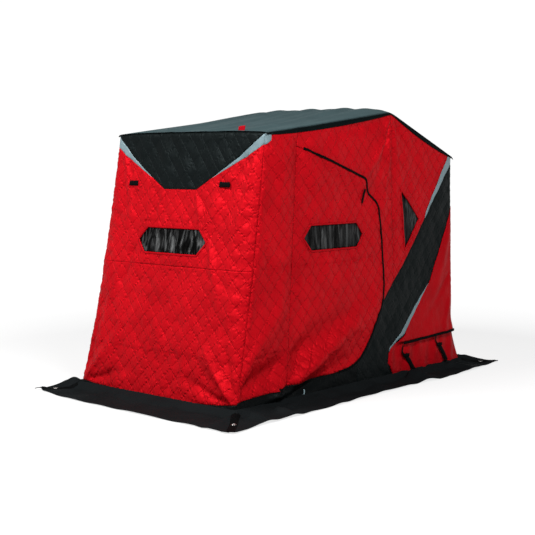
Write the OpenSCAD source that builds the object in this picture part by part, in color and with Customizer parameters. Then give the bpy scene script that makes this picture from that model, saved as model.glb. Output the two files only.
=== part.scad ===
// Flip-over ice fishing hut for two: a quilted fabric cabin stretched on
// square tube bows, which pivot on a moulded sled at the back, with a skirt
// that lies on the ice all round.  The front is -Y, the right side is +X,
// and the ice is z = 0.

/* [Cabin] */
// Length at floor level, front hem to back hem
cabin_length = 2632; // [2450:1:3200]
// Width at floor level
floor_width = 1558; // [1440:1:1900]
// Width across the ridge
ridge_width = 1436; // [1250:1:1800]
// Height of the ridge
ridge_height = 2018; // [1900:1:2450]
// Height of the roof's front edge
eave_height = 1842; // [1800:1:1880]
// Height of the roof's back edge
back_height = 1685; // [1560:1:1860]
// Distance of the ridge behind the front hem
ridge_setback = 1782; // [1760:1:1860]
// Distance of the roof's front edge behind the front hem
eave_setback = 361; // [250:1:420]
// Height of the seam across the front wall
front_seam_height = 945; // [880:1:980]
// How far the front wall is drawn in at that seam
front_tuck = 46; // [0:1:60]
// Height of the seam across the back wall
back_seam_height = 500; // [420:1:640]
// How far the back wall is drawn in at that seam
back_tuck = 40; // [0:1:50]
// Thickness of the quilted walls and roof
wall = 8; // [4:1:12]

/* [Door] */
// Distance of the door's sewn front edge before the ridge seam, at the floor
door_reach = 1272; // [1200:1:1300]
// Height of the door's top corner at its sewn edge
door_top = 1752; // [1650:1:1770]
// Height of the door's bottom edge
door_bottom = 140; // [125:1:160]
// Gap all round the door, for the zip and the sewn hinge
door_gap = 9; // [6:1:14]

/* [Windows] */
// Length of the six-sided windows, point to point
window_length = 672; // [500:1:700]
// Height of the six-sided windows
window_height = 170; // [120:1:190]
// Length of each pointed end
window_point = 76; // [40:1:100]
// Height of the window's middle above the floor, front and doors
window_level = 1124; // [1090:1:1180]
// Thickness of the clear vinyl
pane = 3; // [1:0.5:4]

/* [Yoke] */
// Height of the yoke's lower edge
yoke_bottom = 1457; // [1380:1:1500]
// Width of the yoke's lower edge
yoke_width = 316; // [200:1:400]
// Width of the pale stripe where it meets the corner
stripe_width = 52; // [20:1:60]

/* [Skirt] */
// Reach of the skirt in front and behind
skirt_length = 316; // [200:1:400]
// Reach of the skirt at each side
skirt_side = 226; // [150:1:350]
// Height of the black hem up the walls
hem_height = 40; // [20:1:60]
// Thickness of the skirt
skirt_thick = 4; // [2:1:6]
// Radius of the hole in each anchor eyelet
eyelet_hole = 8; // [5:0.5:10]

/* [Sled] */
// Height of the sled's rim
sled_height = 380; // [280:1:420]
// Thickness of the sled's moulded wall
sled_wall = 8; // [5:1:10]

/* [Frame] */
// Width of the square tube
tube = 25; // [19:1:30]
// Clearance between the tubes and the fabric
tube_gap = 24; // [2:1:30]

/* [Hidden] */
$fn = 48;

front_y = -cabin_length / 2;
back_y = cabin_length / 2;
ridge_y = front_y + ridge_setback;
eave_y = front_y + eave_setback;
reach = 2 * (cabin_length + floor_width);
side_lean = (floor_width - ridge_width) / 2 / ridge_height;
hinge_lean = 0.097;

red = [0.74, 0.06, 0.08];
black = [0.06, 0.06, 0.065];
pale = [0.55, 0.63, 0.66];
smoke = [0.10, 0.12, 0.13];
steel = [0.55, 0.56, 0.58];

// ---- lines of the cabin, seen from the side as [y, z] ----

function mix(a, b, f) = a + (b - a) * f;
// Half width of the cabin at height z
function side_x(z) = floor_width / 2 - side_lean * z;
// Front and back faces at height z, each bent inwards at its seam
front_knee_y = mix(front_y, eave_y, front_seam_height / eave_height) + front_tuck;
function front_at(z) = z < front_seam_height
    ? mix(front_y, front_knee_y, z / front_seam_height)
    : mix(front_knee_y, eave_y, (z - front_seam_height) / (eave_height - wall - front_seam_height));
back_knee_y = back_y - back_tuck;
function back_at(z) = z < back_seam_height
    ? mix(back_y, back_knee_y, z / back_seam_height)
    : mix(back_knee_y, back_y, (z - back_seam_height) / (back_height - wall - back_seam_height));
// Roof line at y
function roof_at(y) = y < ridge_y
    ? mix(eave_height, ridge_height, (y - eave_y) / (ridge_y - eave_y))
    : mix(ridge_height, back_height, (y - ridge_y) / (back_y - ridge_y));
// The door's sewn edge at height z
function hinge_y(z) = ridge_y - door_reach + hinge_lean * z;

// ---- outline helpers ----

function unit(v) = v / norm(v);
// Rounds each corner [y, z, run] of an outline by a curve that starts that run before it
function rounded(corners, steps = 6) = [
    for (i = [0 : len(corners) - 1])
    let (
        n = len(corners),
        q = [corners[i][0], corners[i][1]],
        p = [corners[(i + n - 1) % n][0], corners[(i + n - 1) % n][1]],
        s = [corners[(i + 1) % n][0], corners[(i + 1) % n][1]],
        run = corners[i][2],
        a = q + unit(p - q) * run,
        b = q + unit(s - q) * run
    )
    each run == 0 ? [q] : [
        for (k = [0 : steps])
        let (f = k / steps)
        a * (1 - f) * (1 - f) + q * 2 * f * (1 - f) + b * f * f
    ]
];
// Moves every edge of an anticlockwise outline outwards by d
function grown(outline, d) = [
    for (i = [0 : len(outline) - 1])
    let (
        n = len(outline),
        u = unit(outline[i] - outline[(i + n - 1) % n]),
        v = unit(outline[(i + 1) % n] - outline[i]),
        out = unit([u[1] + v[1], -u[0] - v[0]])
    )
    outline[i] + out * d / (out * [u[1], -u[0]])
];
// Six-sided window round a middle point
function window_outline(middle) = [
    for (corner = [[-1, 0, 0], [-1, -1, 1], [1, -1, 1], [1, 0, 0], [1, 1, 1], [-1, 1, 1]])
    middle + [corner[0] * (window_length / 2 - corner[2] * window_point), corner[1] * window_height / 2]
];

// Doorway, anticlockwise from the foot of the sewn edge
doorway = rounded([
    [hinge_y(door_bottom), door_bottom, 0],
    [ridge_y - 580, 160, 110],
    [ridge_y - 370, 250, 110],
    [ridge_y - 126, 650, 160],
    [ridge_y - 144, 980, 150],
    [ridge_y - 196, 1370, 90],
    [ridge_y - 316, 1515, 70],
    [hinge_y(door_top), door_top, 0]
]);
door_window_y = ridge_y - 725;
door_window_outline = window_outline([door_window_y, window_level]);
rear_window_outline = [[ridge_y + 125, 1426], [ridge_y + 158, 995], [ridge_y + 357, 1205]];
header_level = 1370;
sill_front = hinge_y(0) - 94;
sill_corner = ridge_y - 486;
cover_level = 283;
band_above = 15;
// Both edges of the band, from its foot to the back top corner
band_lower_edge = [
    [ridge_y - 1, 0], [ridge_y - 91, 140], [ridge_y - 78, 224], [ridge_y + 124, 330],
    [ridge_y + 494, 725], [back_y - 16, 1290], [back_y + wall, 1292]
];
band_upper_edge = [
    [back_y + wall, back_height + band_above], [back_y, back_height + band_above],
    [ridge_y + 124, 860], [ridge_y - 166, 603], [sill_corner, 400]
];
band_outline = concat([[sill_corner, 0]], band_lower_edge, band_upper_edge);
under_band_top = concat([[sill_corner, 0], [back_y + wall, 0]], band_upper_edge);
under_band_bottom = concat(band_lower_edge, [[back_y + wall, 0]]);

// ---- sheets and prisms ----

// Prism across the cabin with a [y, z] outline given as a 2-D child
module across() rotate([90, 0, 90]) linear_extrude(height = reach, center = true) children();
// Prism along the cabin with an [x, z] outline given as a 2-D child
module along() rotate([90, 0, 0]) linear_extrude(height = reach, center = true) children();
// Layer of the right side between two depths under its outer face
module side_layer(from, to) along() polygon([
    [side_x(0) - to, 0], [side_x(0) - from, 0],
    [side_x(reach) - from, reach], [side_x(reach) - to, reach]
]);
// Space between the two sides, a depth under their outer faces
module between_sides(depth) along() polygon([
    [depth - side_x(0), 0], [side_x(0) - depth, 0],
    [side_x(ridge_height) - depth, ridge_height], [depth - side_x(ridge_height), ridge_height]
]);
// Piece of the right side, from a [y, z] shape given as a 2-D child
module side_piece(from = 0, to = wall) intersection() {
    side_layer(from, to);
    across() children();
}
module on_left() mirror([1, 0, 0]) children();

// Side of the cabin from hem to roof
module side_shape() polygon([
    [front_at(hem_height), hem_height], [back_at(hem_height), hem_height],
    [back_knee_y, back_seam_height], [back_y, back_height - wall],
    [ridge_y, ridge_height - wall], [eave_y, eave_height - wall],
    [front_knee_y, front_seam_height]
]);
module before_hinge() polygon([
    [hinge_y(0), 0], [hinge_y(reach), reach], [front_y - reach, reach], [front_y - reach, 0]
]);
module span(from_y, to_y, from_z, to_z) translate([from_y, from_z]) square([to_y - from_y, to_z - from_z]);
module sill_shape() difference() {
    polygon([
        [sill_front, hem_height], [sill_corner, hem_height], [sill_corner, 300],
        [hinge_y(door_bottom) + 60, 200], [hinge_y(door_bottom), door_bottom], [sill_front, door_bottom - 21]
    ]);
    polygon(doorway);
}

// ---- fabric sides, drawn for the right ----

module front_panel() color(red) side_piece() difference() {
    intersection() {
        side_shape();
        before_hinge();
    }
    sill_shape();
}
module door() color(red) side_piece() difference() {
    polygon(grown(doorway, -door_gap));
    polygon(door_window_outline);
}
module door_window() color(smoke) side_piece((wall - pane) / 2, (wall + pane) / 2)
    polygon(door_window_outline);
module door_header() color(red) side_piece() difference() {
    intersection() {
        side_shape();
        span(front_y, ridge_y, header_level, ridge_height);
    }
    before_hinge();
    polygon(doorway);
}
module door_jamb() color(red) side_piece() difference() {
    span(sill_corner, ridge_y, hem_height, header_level);
    polygon(doorway);
    polygon(under_band_top);
}
module door_sill() color(black) side_piece() sill_shape();
module rear_panel() color(red) side_piece() difference() {
    intersection() {
        side_shape();
        span(ridge_y, back_y, hem_height, ridge_height);
    }
    polygon(under_band_top);
    polygon(rear_window_outline);
}
module rear_window() color(smoke) side_piece((wall - pane) / 2, (wall + pane) / 2)
    polygon(rear_window_outline);
module band() color(black) side_piece() difference() {
    intersection() {
        side_shape();
        polygon(band_outline);
    }
    polygon(doorway);
}
module lower_panel() color(red) side_piece() intersection() {
    side_shape();
    polygon(under_band_bottom);
    span(ridge_y - reach, back_y, cover_level, ridge_height);
}
module sled_cover() color(red) side_piece() intersection() {
    side_shape();
    polygon(under_band_bottom);
    span(ridge_y - reach, back_y, hem_height, cover_level);
}

// ---- front, back and roof ----

// Sheet across the cabin between its sides, from a [y, z] outline
module cross_sheet(outline) intersection() {
    between_sides(wall);
    across() polygon(outline);
}
// Upper part of the front wall, moved out by a distance, cut by an [x, z] shape
module front_upper_sheet(out = 0, thick = wall) intersection() {
    cross_sheet([
        [front_knee_y - out, front_seam_height], [front_knee_y - out + thick, front_seam_height],
        [eave_y - out + thick, eave_height - wall], [eave_y - out, eave_height - wall]
    ]);
    along() children();
}
yoke_kink = [308, 1548];
yoke_corner_level = eave_height - 42;
eave_x = side_x(yoke_corner_level);
module yoke_shape() polygon([
    [-yoke_width / 2, yoke_bottom], [yoke_width / 2, yoke_bottom], yoke_kink,
    [eave_x, yoke_corner_level], [eave_x, eave_height], [-eave_x, eave_height],
    [-eave_x, yoke_corner_level], [-yoke_kink[0], yoke_kink[1]]
]);
module stripe_shape() for (s = [-1, 1]) polygon([
    [s * yoke_kink[0], yoke_kink[1]], [s * (yoke_kink[0] + 14), yoke_kink[1] - 3],
    [s * eave_x, yoke_corner_level - stripe_width], [s * eave_x, yoke_corner_level]
]);
front_window_outline = window_outline([0, window_level - 22]);
module front_upper_wall() color(red) front_upper_sheet() difference() {
    span(-reach / 2, reach / 2, 0, eave_height);
    yoke_shape();
    stripe_shape();
    polygon(front_window_outline);
}
module front_window() color(smoke) front_upper_sheet(-(wall - pane) / 2, pane)
    polygon(front_window_outline);
module front_yoke() color(black) front_upper_sheet() yoke_shape();
module front_stripes() color(pale) front_upper_sheet() stripe_shape();
tab_size = [95, 36];
tab_thick = 3;
module vent_tabs() color(black) front_upper_sheet(tab_thick, tab_thick) for (s = [-1, 1])
    translate([s * 448, 1494]) square(tab_size, center = true);
module front_lower_wall() color(red) cross_sheet([
    [front_at(hem_height), hem_height], [front_at(hem_height) + wall, hem_height],
    [front_knee_y + wall, front_seam_height], [front_knee_y, front_seam_height]
]);
module rear_wall() color(red) cross_sheet([
    [back_knee_y - wall, back_seam_height], [back_knee_y, back_seam_height],
    [back_y, back_height - wall], [back_y - wall, back_height - wall]
]);
module rear_sled_cover() color(red) cross_sheet([
    [back_at(hem_height) - wall, hem_height], [back_at(hem_height), hem_height],
    [back_knee_y, back_seam_height], [back_knee_y - wall, back_seam_height]
]);
// Roof sheet between two places, a wall thick, over the sides
module roof_sheet(from_y, to_y) intersection() {
    between_sides(0);
    across() polygon([
        [from_y, roof_at(from_y) - wall], [to_y, roof_at(to_y) - wall], [to_y, roof_at(to_y)], [from_y, roof_at(from_y)]
    ]);
}
module roof_panel() color(black) roof_sheet(eave_y, ridge_y);
module rear_roof_panel() color(black) roof_sheet(ridge_y, back_y);

// ---- skirt, eyelets and straps ----

skirt_x = side_x(0) + skirt_side;
skirt_y = back_y + skirt_length;
// The anchor eyelets sit on the mitred corners, two fifths of the way out
eyelet_x = side_x(0) + 0.4 * skirt_side;
eyelet_y = back_y + 0.4 * skirt_length;
eyelet_sleeve = eyelet_hole + 3;
eyelet_rim = eyelet_hole + 10;
rim_thick = 2;
strap_thick = 2;
strap_width = 50;
module eyelet_holes() for (sx = [-1, 1], sy = [-1, 1]) translate([sx * eyelet_x, sy * eyelet_y, -1])
    cylinder(r = eyelet_sleeve, h = skirt_thick + strap_thick + 2);
module flange(outline) difference() {
    linear_extrude(height = skirt_thick) polygon(outline);
    eyelet_holes();
}
inner_x = side_x(0) - wall;
inner_y = back_y - wall;
module side_skirt() color(black) {
    flange([[inner_x, -inner_y], [skirt_x, -skirt_y], [skirt_x, skirt_y], [inner_x, inner_y]]);
    side_piece() polygon([
        [front_at(skirt_thick), skirt_thick], [back_at(skirt_thick), skirt_thick],
        [back_at(hem_height), hem_height], [front_at(hem_height), hem_height]
    ]);
}
module front_skirt() color(black) {
    flange([[-inner_x, -inner_y], [-skirt_x, -skirt_y], [skirt_x, -skirt_y], [inner_x, -inner_y]]);
    cross_sheet([
        [front_at(skirt_thick), skirt_thick], [front_at(skirt_thick) + wall, skirt_thick],
        [front_at(hem_height) + wall, hem_height], [front_at(hem_height), hem_height]
    ]);
}
module rear_skirt() color(black) {
    flange([[-inner_x, inner_y], [inner_x, inner_y], [skirt_x, skirt_y], [-skirt_x, skirt_y]]);
    cross_sheet([
        [back_at(skirt_thick) - wall, skirt_thick], [back_at(skirt_thick), skirt_thick],
        [back_at(hem_height), hem_height], [back_at(hem_height) - wall, hem_height]
    ]);
}
strap_start = 26;
strap_end = 46;
corner_run = norm([skirt_length, skirt_side]) - strap_start - strap_end;
module corner_straps() color([0.1, 0.1, 0.1]) difference() {
    for (sx = [-1, 1], sy = [-1, 1])
        translate([sx * side_x(0), sy * back_y, skirt_thick])
        rotate([0, 0, atan2(sy * skirt_length, sx * skirt_side)])
        translate([strap_start, -strap_width / 2, 0])
        cube([corner_run, strap_width, strap_thick]);
    eyelet_holes();
}
module anchor_eyelets() color(steel) for (sx = [-1, 1], sy = [-1, 1])
    translate([sx * eyelet_x, sy * eyelet_y, 0]) difference() {
        union() {
            cylinder(r = eyelet_sleeve, h = skirt_thick + strap_thick);
            translate([0, 0, skirt_thick + strap_thick]) cylinder(r = eyelet_rim, h = rim_thick);
        }
        translate([0, 0, -1]) cylinder(r = eyelet_hole, h = skirt_thick + strap_thick + rim_thick + 2);
    }

// Straps that hold the sled cover down, each with its buckle
sled_strap_width = 28;
sled_strap_run = 112;
buckle = 44;
module sled_strap(top_y) union() {
    side_piece(-2, 0) polygon([
        [top_y, 240], [top_y + sled_strap_run, hem_height + 4],
        [top_y + sled_strap_run + sled_strap_width, hem_height + 4], [top_y + sled_strap_width, 240]
    ]);
    side_piece(-9, -2) translate([top_y + 34, 176]) rotate(28) square([buckle, buckle + 12], center = true);
}
module sled_straps() color([0.1, 0.1, 0.1]) for (s = [0, 1]) mirror([s, 0, 0]) {
    sled_strap(ridge_y + 95);
    sled_strap(ridge_y + 555);
}

// ---- sled and frame ----

sled_clear = 24;
sled_front = ridge_y - 26;
sled_back = back_knee_y - wall - sled_clear;
sled_half = side_x(sled_height) - wall - sled_clear;
sled_rim = 40;
module sled() color([0.08, 0.08, 0.09]) difference() {
    union() {
        translate([sled_rim - sled_half, sled_front + sled_rim, 0])
            cube([2 * (sled_half - sled_rim), sled_back - sled_front - 2 * sled_rim, sled_height]);
        translate([-sled_half, sled_front, sled_height - sled_wall])
            cube([2 * sled_half, sled_back - sled_front, sled_wall]);
    }
    translate([sled_rim + sled_wall - sled_half, sled_front + sled_rim + sled_wall, sled_wall])
        cube([
            2 * (sled_half - sled_rim - sled_wall),
            sled_back - sled_front - 2 * (sled_rim + sled_wall),
            sled_height
        ]);
}
tube_out = wall + tube_gap;
tube_in = tube_out + tube;
bracket_top = sled_height + 60;
post_front = ridge_y - tube / 2;
post_top = roof_at(post_front + tube) - 2 * wall;
// Height of the underside of the roof, with room for the tube's clearance
function rail_top(y) = roof_at(y) - wall - tube_gap;
rail_front = eave_y + 22;
strut_foot_y = post_front + tube + 4;
strut_width = 30;
strut_top_y = back_y - wall - tube_gap - 14;
strut_top = back_height - 20;
module ridge_posts() color(steel) for (s = [0, 1]) mirror([s, 0, 0])
    side_piece(tube_out, tube_in) span(post_front, post_front + tube, bracket_top, post_top);
module roof_rails() color(steel) for (s = [0, 1]) mirror([s, 0, 0])
    side_piece(tube_out, tube_in) polygon([
        [rail_front, rail_top(rail_front) - tube], [post_front, rail_top(post_front) - tube],
        [post_front, rail_top(post_front)], [rail_front, rail_top(rail_front)]
    ]);
module rear_struts() color(steel) for (s = [0, 1]) mirror([s, 0, 0])
    side_piece(tube_out, tube_in) polygon([
        [strut_foot_y, bracket_top], [strut_foot_y + strut_width, bracket_top],
        [strut_top_y, strut_top], [strut_top_y - strut_width, strut_top]
    ]);
// Bars across the front edge, the ridge and the back edge, butted between the side tubes
module cross_bars() color(steel) intersection() {
    between_sides(tube_in);
    across() {
        polygon([
            [rail_front, rail_top(rail_front) - tube], [rail_front + tube, rail_top(rail_front + tube) - tube],
            [rail_front + tube, rail_top(rail_front + tube)], [rail_front, rail_top(rail_front)]
        ]);
        span(post_front, post_front + tube, post_top - tube, post_top);
        span(strut_top_y - tube - 2, strut_top_y - 2, strut_top - tube, strut_top);
    }
}
module pivot_brackets() color(black) for (s = [0, 1]) mirror([s, 0, 0])
    side_piece(tube_out, tube_in) polygon([
        [sled_front + 4, sled_height], [sled_front + 124, sled_height],
        [strut_foot_y + strut_width + 4, bracket_top], [post_front - 4, bracket_top]
    ]);

front_upper_wall();
front_lower_wall();
front_window();
front_yoke();
front_stripes();
vent_tabs();
roof_panel();
rear_roof_panel();
rear_wall();
rear_sled_cover();
front_panel();  // right_front_panel
on_left() front_panel();  // left_front_panel
door();  // right_door
on_left() door();  // left_door
door_window();  // right_door_window
on_left() door_window();  // left_door_window
door_header();  // right_door_header
on_left() door_header();  // left_door_header
door_jamb();  // right_door_jamb
on_left() door_jamb();  // left_door_jamb
door_sill();  // right_door_sill
on_left() door_sill();  // left_door_sill
rear_panel();  // right_rear_panel
on_left() rear_panel();  // left_rear_panel
rear_window();  // right_rear_window
on_left() rear_window();  // left_rear_window
band();  // right_band
on_left() band();  // left_band
lower_panel();  // right_lower_panel
on_left() lower_panel();  // left_lower_panel
sled_cover();  // right_sled_cover
on_left() sled_cover();  // left_sled_cover
sled_straps();
front_skirt();
rear_skirt();
side_skirt();  // right_skirt
on_left() side_skirt();  // left_skirt
corner_straps();
anchor_eyelets();
sled();
ridge_posts();
roof_rails();
rear_struts();
cross_bars();
pivot_brackets();
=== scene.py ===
# Flip-over ice fishing hut: a quilted red cabin pulled over square tube bows,
# with zipped side doors, dark windows, a black roof, a sled at the back and a
# black skirt that lies on the ice.

import math

import bmesh
import bpy
import numpy as np
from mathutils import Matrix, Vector, geometry


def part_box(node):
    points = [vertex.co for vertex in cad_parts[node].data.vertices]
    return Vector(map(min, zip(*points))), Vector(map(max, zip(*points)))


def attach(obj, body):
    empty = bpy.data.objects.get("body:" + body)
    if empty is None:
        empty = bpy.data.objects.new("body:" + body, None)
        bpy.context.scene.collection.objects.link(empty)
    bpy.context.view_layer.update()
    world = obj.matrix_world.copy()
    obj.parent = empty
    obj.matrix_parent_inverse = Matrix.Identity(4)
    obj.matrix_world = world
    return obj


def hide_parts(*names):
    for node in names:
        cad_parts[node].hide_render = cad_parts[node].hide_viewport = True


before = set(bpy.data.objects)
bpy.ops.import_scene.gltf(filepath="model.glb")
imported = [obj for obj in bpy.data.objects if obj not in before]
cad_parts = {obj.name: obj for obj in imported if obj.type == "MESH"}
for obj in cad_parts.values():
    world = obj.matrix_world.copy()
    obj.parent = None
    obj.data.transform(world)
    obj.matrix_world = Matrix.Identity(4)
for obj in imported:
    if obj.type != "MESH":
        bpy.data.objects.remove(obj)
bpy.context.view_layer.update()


# ---- Sled ----
# One black moulded polyethylene tub with a wide turned-over rim. It carries the
# tube bows, and the shelter is folded down into it to be towed.


def node(tree, kind, **settings):
    """A shader node with some of its inputs or settings given."""
    made = tree.nodes.new(kind)
    for key, value in settings.items():
        if key in made.inputs:
            made.inputs[key].default_value = value
        else:
            setattr(made, key, value)
    return made


def object_place(tree):
    """Where each point is on its own piece."""
    return node(tree, "ShaderNodeTexCoord").outputs["Object"]


def noise(tree, place, **settings):
    """Noise read at a place."""
    made = node(tree, "ShaderNodeTexNoise", **settings)
    tree.links.new(place, made.inputs["Vector"])
    return made.outputs["Fac"]


def bumped(tree, height, distance, under=None, strength=1.0):
    """The normal of a surface with bumps of a height, laid over other bumps if those are given."""
    made = node(tree, "ShaderNodeBump", Strength=strength, Distance=distance)
    tree.links.new(height, made.inputs["Height"])
    if under is not None:
        tree.links.new(under, made.inputs["Normal"])
    return made.outputs["Normal"]


def new_finish(name, colour, roughness, specular=0.5, metallic=0.0):
    """A material with its node tree and its shader."""
    material = bpy.data.materials.new(name)
    material.use_nodes = True
    tree = material.node_tree
    shader = tree.nodes["Principled BSDF"]
    shader.inputs["Base Color"].default_value = (*colour, 1.0)
    shader.inputs["Roughness"].default_value = roughness
    shader.inputs["Metallic"].default_value = metallic
    shader.inputs["Specular IOR Level"].default_value = specular
    return material, tree, shader


def fitted(piece, body="shelter", replaces=None):
    """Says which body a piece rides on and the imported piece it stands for."""
    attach(piece, body)
    if replaces:
        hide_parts(replaces)
    return piece


sled_plastic, sled_tree, sled_shader = new_finish(
    "black_polyethylene", (0.010, 0.0105, 0.011), roughness=0.45, specular=0.4
)
sled_grain = noise(sled_tree, object_place(sled_tree), Scale=180.0, Detail=2.0)
sled_tree.links.new(bumped(sled_tree, sled_grain, 0.0006, strength=0.5), sled_shader.inputs["Normal"])
rim_width = 0.048
floor_thick = 0.009
sled_low, sled_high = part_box("sled")
sled_size = sled_high - sled_low
floor_taper = (0.93, 0.90, 1.0)
edge_round = 0.008
bpy.ops.object.select_all(action="DESELECT")
bpy.ops.mesh.primitive_cube_add(size=1.0, location=(sled_low + sled_high) / 2)
sled = bpy.context.object
sled.name = "sled_tub"
sled.scale = sled_size
bpy.ops.object.transform_apply(location=True, rotation=True, scale=True)
bpy.ops.object.mode_set(mode="EDIT")
bpy.ops.mesh.select_mode(type="FACE")
bpy.ops.mesh.select_all(action="DESELECT")
tub = bmesh.from_edit_mesh(sled.data)
for face in tub.faces:
    face.select = face.normal.z > 0.9
bmesh.update_edit_mesh(sled.data)
bpy.ops.mesh.inset(thickness=rim_width)
bpy.ops.mesh.extrude_region_move(TRANSFORM_OT_translate={"value": (0.0, 0.0, -(sled_size.z - floor_thick))})
bpy.ops.transform.resize(value=floor_taper)
bpy.ops.mesh.select_all(action="SELECT")
bpy.ops.object.mode_set(mode="OBJECT")
rounding = sled.modifiers.new("edges", "BEVEL")
rounding.width = edge_round
rounding.segments = 3
rounding.limit_method = "ANGLE"
bpy.ops.object.modifier_apply(modifier=rounding.name)
bpy.ops.object.shade_smooth()
sled.data.materials.append(sled_plastic)
fitted(sled, replaces="sled")


# ---- Tube bows ----
# Bright square steel tube in three bows, and the black pivot brackets that hold
# it on the sled's rim. The cloth is pulled over it.


def ranged(tree, value, from_low, from_high, to_low, to_high, smooth=False):
    """A value carried from one range into another."""
    ends = {"From Min": from_low, "From Max": from_high, "To Min": to_low, "To Max": to_high}
    made = node(tree, "ShaderNodeMapRange", interpolation_type="SMOOTHSTEP" if smooth else "LINEAR", **ends)
    tree.links.new(value, made.inputs["Value"])
    return made.outputs["Result"]


tube_steel, steel_tree, steel_shader = new_finish(
    "bright_tube_steel", (0.42, 0.43, 0.44), roughness=0.32, metallic=1.0
)
steel_noise = noise(steel_tree, object_place(steel_tree), Scale=60.0, Detail=3.0)
steel_tree.links.new(ranged(steel_tree, steel_noise, 0.0, 1.0, 0.24, 0.42), steel_shader.inputs["Roughness"])
bracket_paint, _, _ = new_finish("black_painted_steel", (0.011, 0.011, 0.012), roughness=0.4, specular=0.45)
for name, finish in (
    ("ridge_posts", tube_steel), ("roof_rails", tube_steel), ("rear_struts", tube_steel), ("cross_bars", tube_steel),
    ("pivot_brackets", bracket_paint),
):
    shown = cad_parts[name]
    shown.data.materials.clear()
    shown.data.materials.append(finish)


# ---- Side panels ----
# Each side is sewn from quilted red nylon panels, a black diagonal band, a black
# sill and a plain red cover over the sled. It is cut as one flat sheet along all
# its seams, and laid on the side's shape one panel at a time.

wall = 0.008
hem_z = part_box("front_lower_wall")[0].z
front_hem_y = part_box("front_lower_wall")[0].y
eave_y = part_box("roof_panel")[0].y
eave_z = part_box("front_yoke")[1].z + wall
ridge_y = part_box("roof_panel")[1].y
ridge_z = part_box("roof_panel")[1].z
back_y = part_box("rear_roof_panel")[1].y
back_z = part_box("rear_wall")[1].z + wall
back_hem_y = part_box("rear_sled_cover")[1].y
hem_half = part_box("right_front_panel")[1].x
side_lean = (hem_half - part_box("rear_roof_panel")[1].x) / (back_z - wall - hem_z)
front_tuck = 0.033
back_tuck = 0.012
corner_round = 0.045
ridge_round = 0.012
hinge_ahead = 1.272
hinge_rake = 0.097
fullest_top = 1.87


def unit(value):
    """A value held between 0 and 1."""
    return np.clip(value, 0.0, 1.0)


def hump(distance, width):
    """A smooth hump: 1 at no distance, near 0 past twice the width."""
    return np.exp(-((distance / width) ** 2))


def half_width(z):
    """Half the width of the cabin at a height."""
    return hem_half - side_lean * (z - hem_z)


def bowed(z, top, power):
    """From 0 at the hem to 1 part of the way up and back to 0 at the top."""
    s = unit((z - hem_z) / (top - hem_z))
    return np.sin(np.pi * s**power)


def front_line(z):
    """Where the front wall stands at a height."""
    s = (z - hem_z) / (eave_z - hem_z)
    return front_hem_y + (eave_y - front_hem_y) * s + front_tuck * bowed(z, eave_z, 0.83)


def back_line(z):
    """Where the back wall stands at a height, flared over the sled's end."""
    s = (z - hem_z) / (back_z - hem_z)
    flare = 0.080 * unit((0.300 - z) / 0.24) ** 1.3 - 0.012 * hump(z - 0.42, 0.09)
    return back_hem_y + (back_y - back_hem_y) * s - back_tuck * bowed(z, back_z, 0.55) + flare


def roof_line(y):
    """The height of the roof's side edges, rounded over the ridge."""
    rise = (ridge_z - eave_z) / (ridge_y - eave_y)
    fall = (ridge_z - back_z) / (back_y - ridge_y)
    front = eave_z + rise * (y - eave_y)
    back = ridge_z - fall * (y - ridge_y)
    low = np.minimum(front, back)
    return low - ridge_round * np.log(np.exp((low - front) / ridge_round) + np.exp((low - back) / ridge_round))


def side_set(y, z):
    """How far the side stands out of its plane: drawn in at its edges, fuller in the door and under the roof."""
    from_front = unit((y - front_line(z)) / 0.35)
    from_back = unit((back_line(z) - y) / 0.25)
    edges = -0.012 * (1.0 - from_front) ** 2 - 0.008 * (1.0 - from_back) ** 2
    full = 0.012 * hump(y + 0.25, 0.42)
    under_roof = unit((roof_line(y) - z) / 0.55)
    middle = unit((y - eave_y) / 0.25) * unit((ridge_y - y) / 0.15)
    return (edges + full) * bowed(z, fullest_top, 0.77) + 0.028 * np.sin(np.pi * under_roof**0.9) * middle


def folds(a, b, list_of_folds):
    """Sum of straight folds, each (a0, b0, a1, b1, width, height), fading from start to end."""
    total = np.zeros_like(a)
    for a0, b0, a1, b1, width, height in list_of_folds:
        run = math.hypot(a1 - a0, b1 - b0)
        ua, ub = (a1 - a0) / run, (b1 - b0) / run
        along = ((a - a0) * ua + (b - b0) * ub) / run
        across = (a - a0) * ub - (b - b0) * ua
        fade = unit(along / 0.12) * unit((1.0 - along) / 0.6)
        spread = width * (0.55 + 0.9 * unit(along))
        total += height * fade * hump(across, spread)
    return total


def ripple(a, b):
    """Slow, uneven waves of slack cloth, about a millimetre or two each way."""
    return (
        0.0016 * np.sin(17.0 * a + 5.0 * np.sin(3.1 * b))
        + 0.0013 * np.sin(23.0 * b + 4.0 * np.sin(4.7 * a + 1.0))
        + 0.0009 * np.sin(41.0 * (a + b) + 3.0 * np.sin(9.0 * (a - b)))
    )


def rounded_corner(distance):
    """Two sheets meet at a soft corner: (set back from the face, run along it) for a distance."""
    angle = (math.pi / 4) * (1.0 - unit(distance / corner_round))
    back = corner_round * (1.0 - np.cos(angle))
    run = np.where(distance < corner_round, corner_round * (1.0 - np.sin(angle)), distance)
    return back, run


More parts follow.
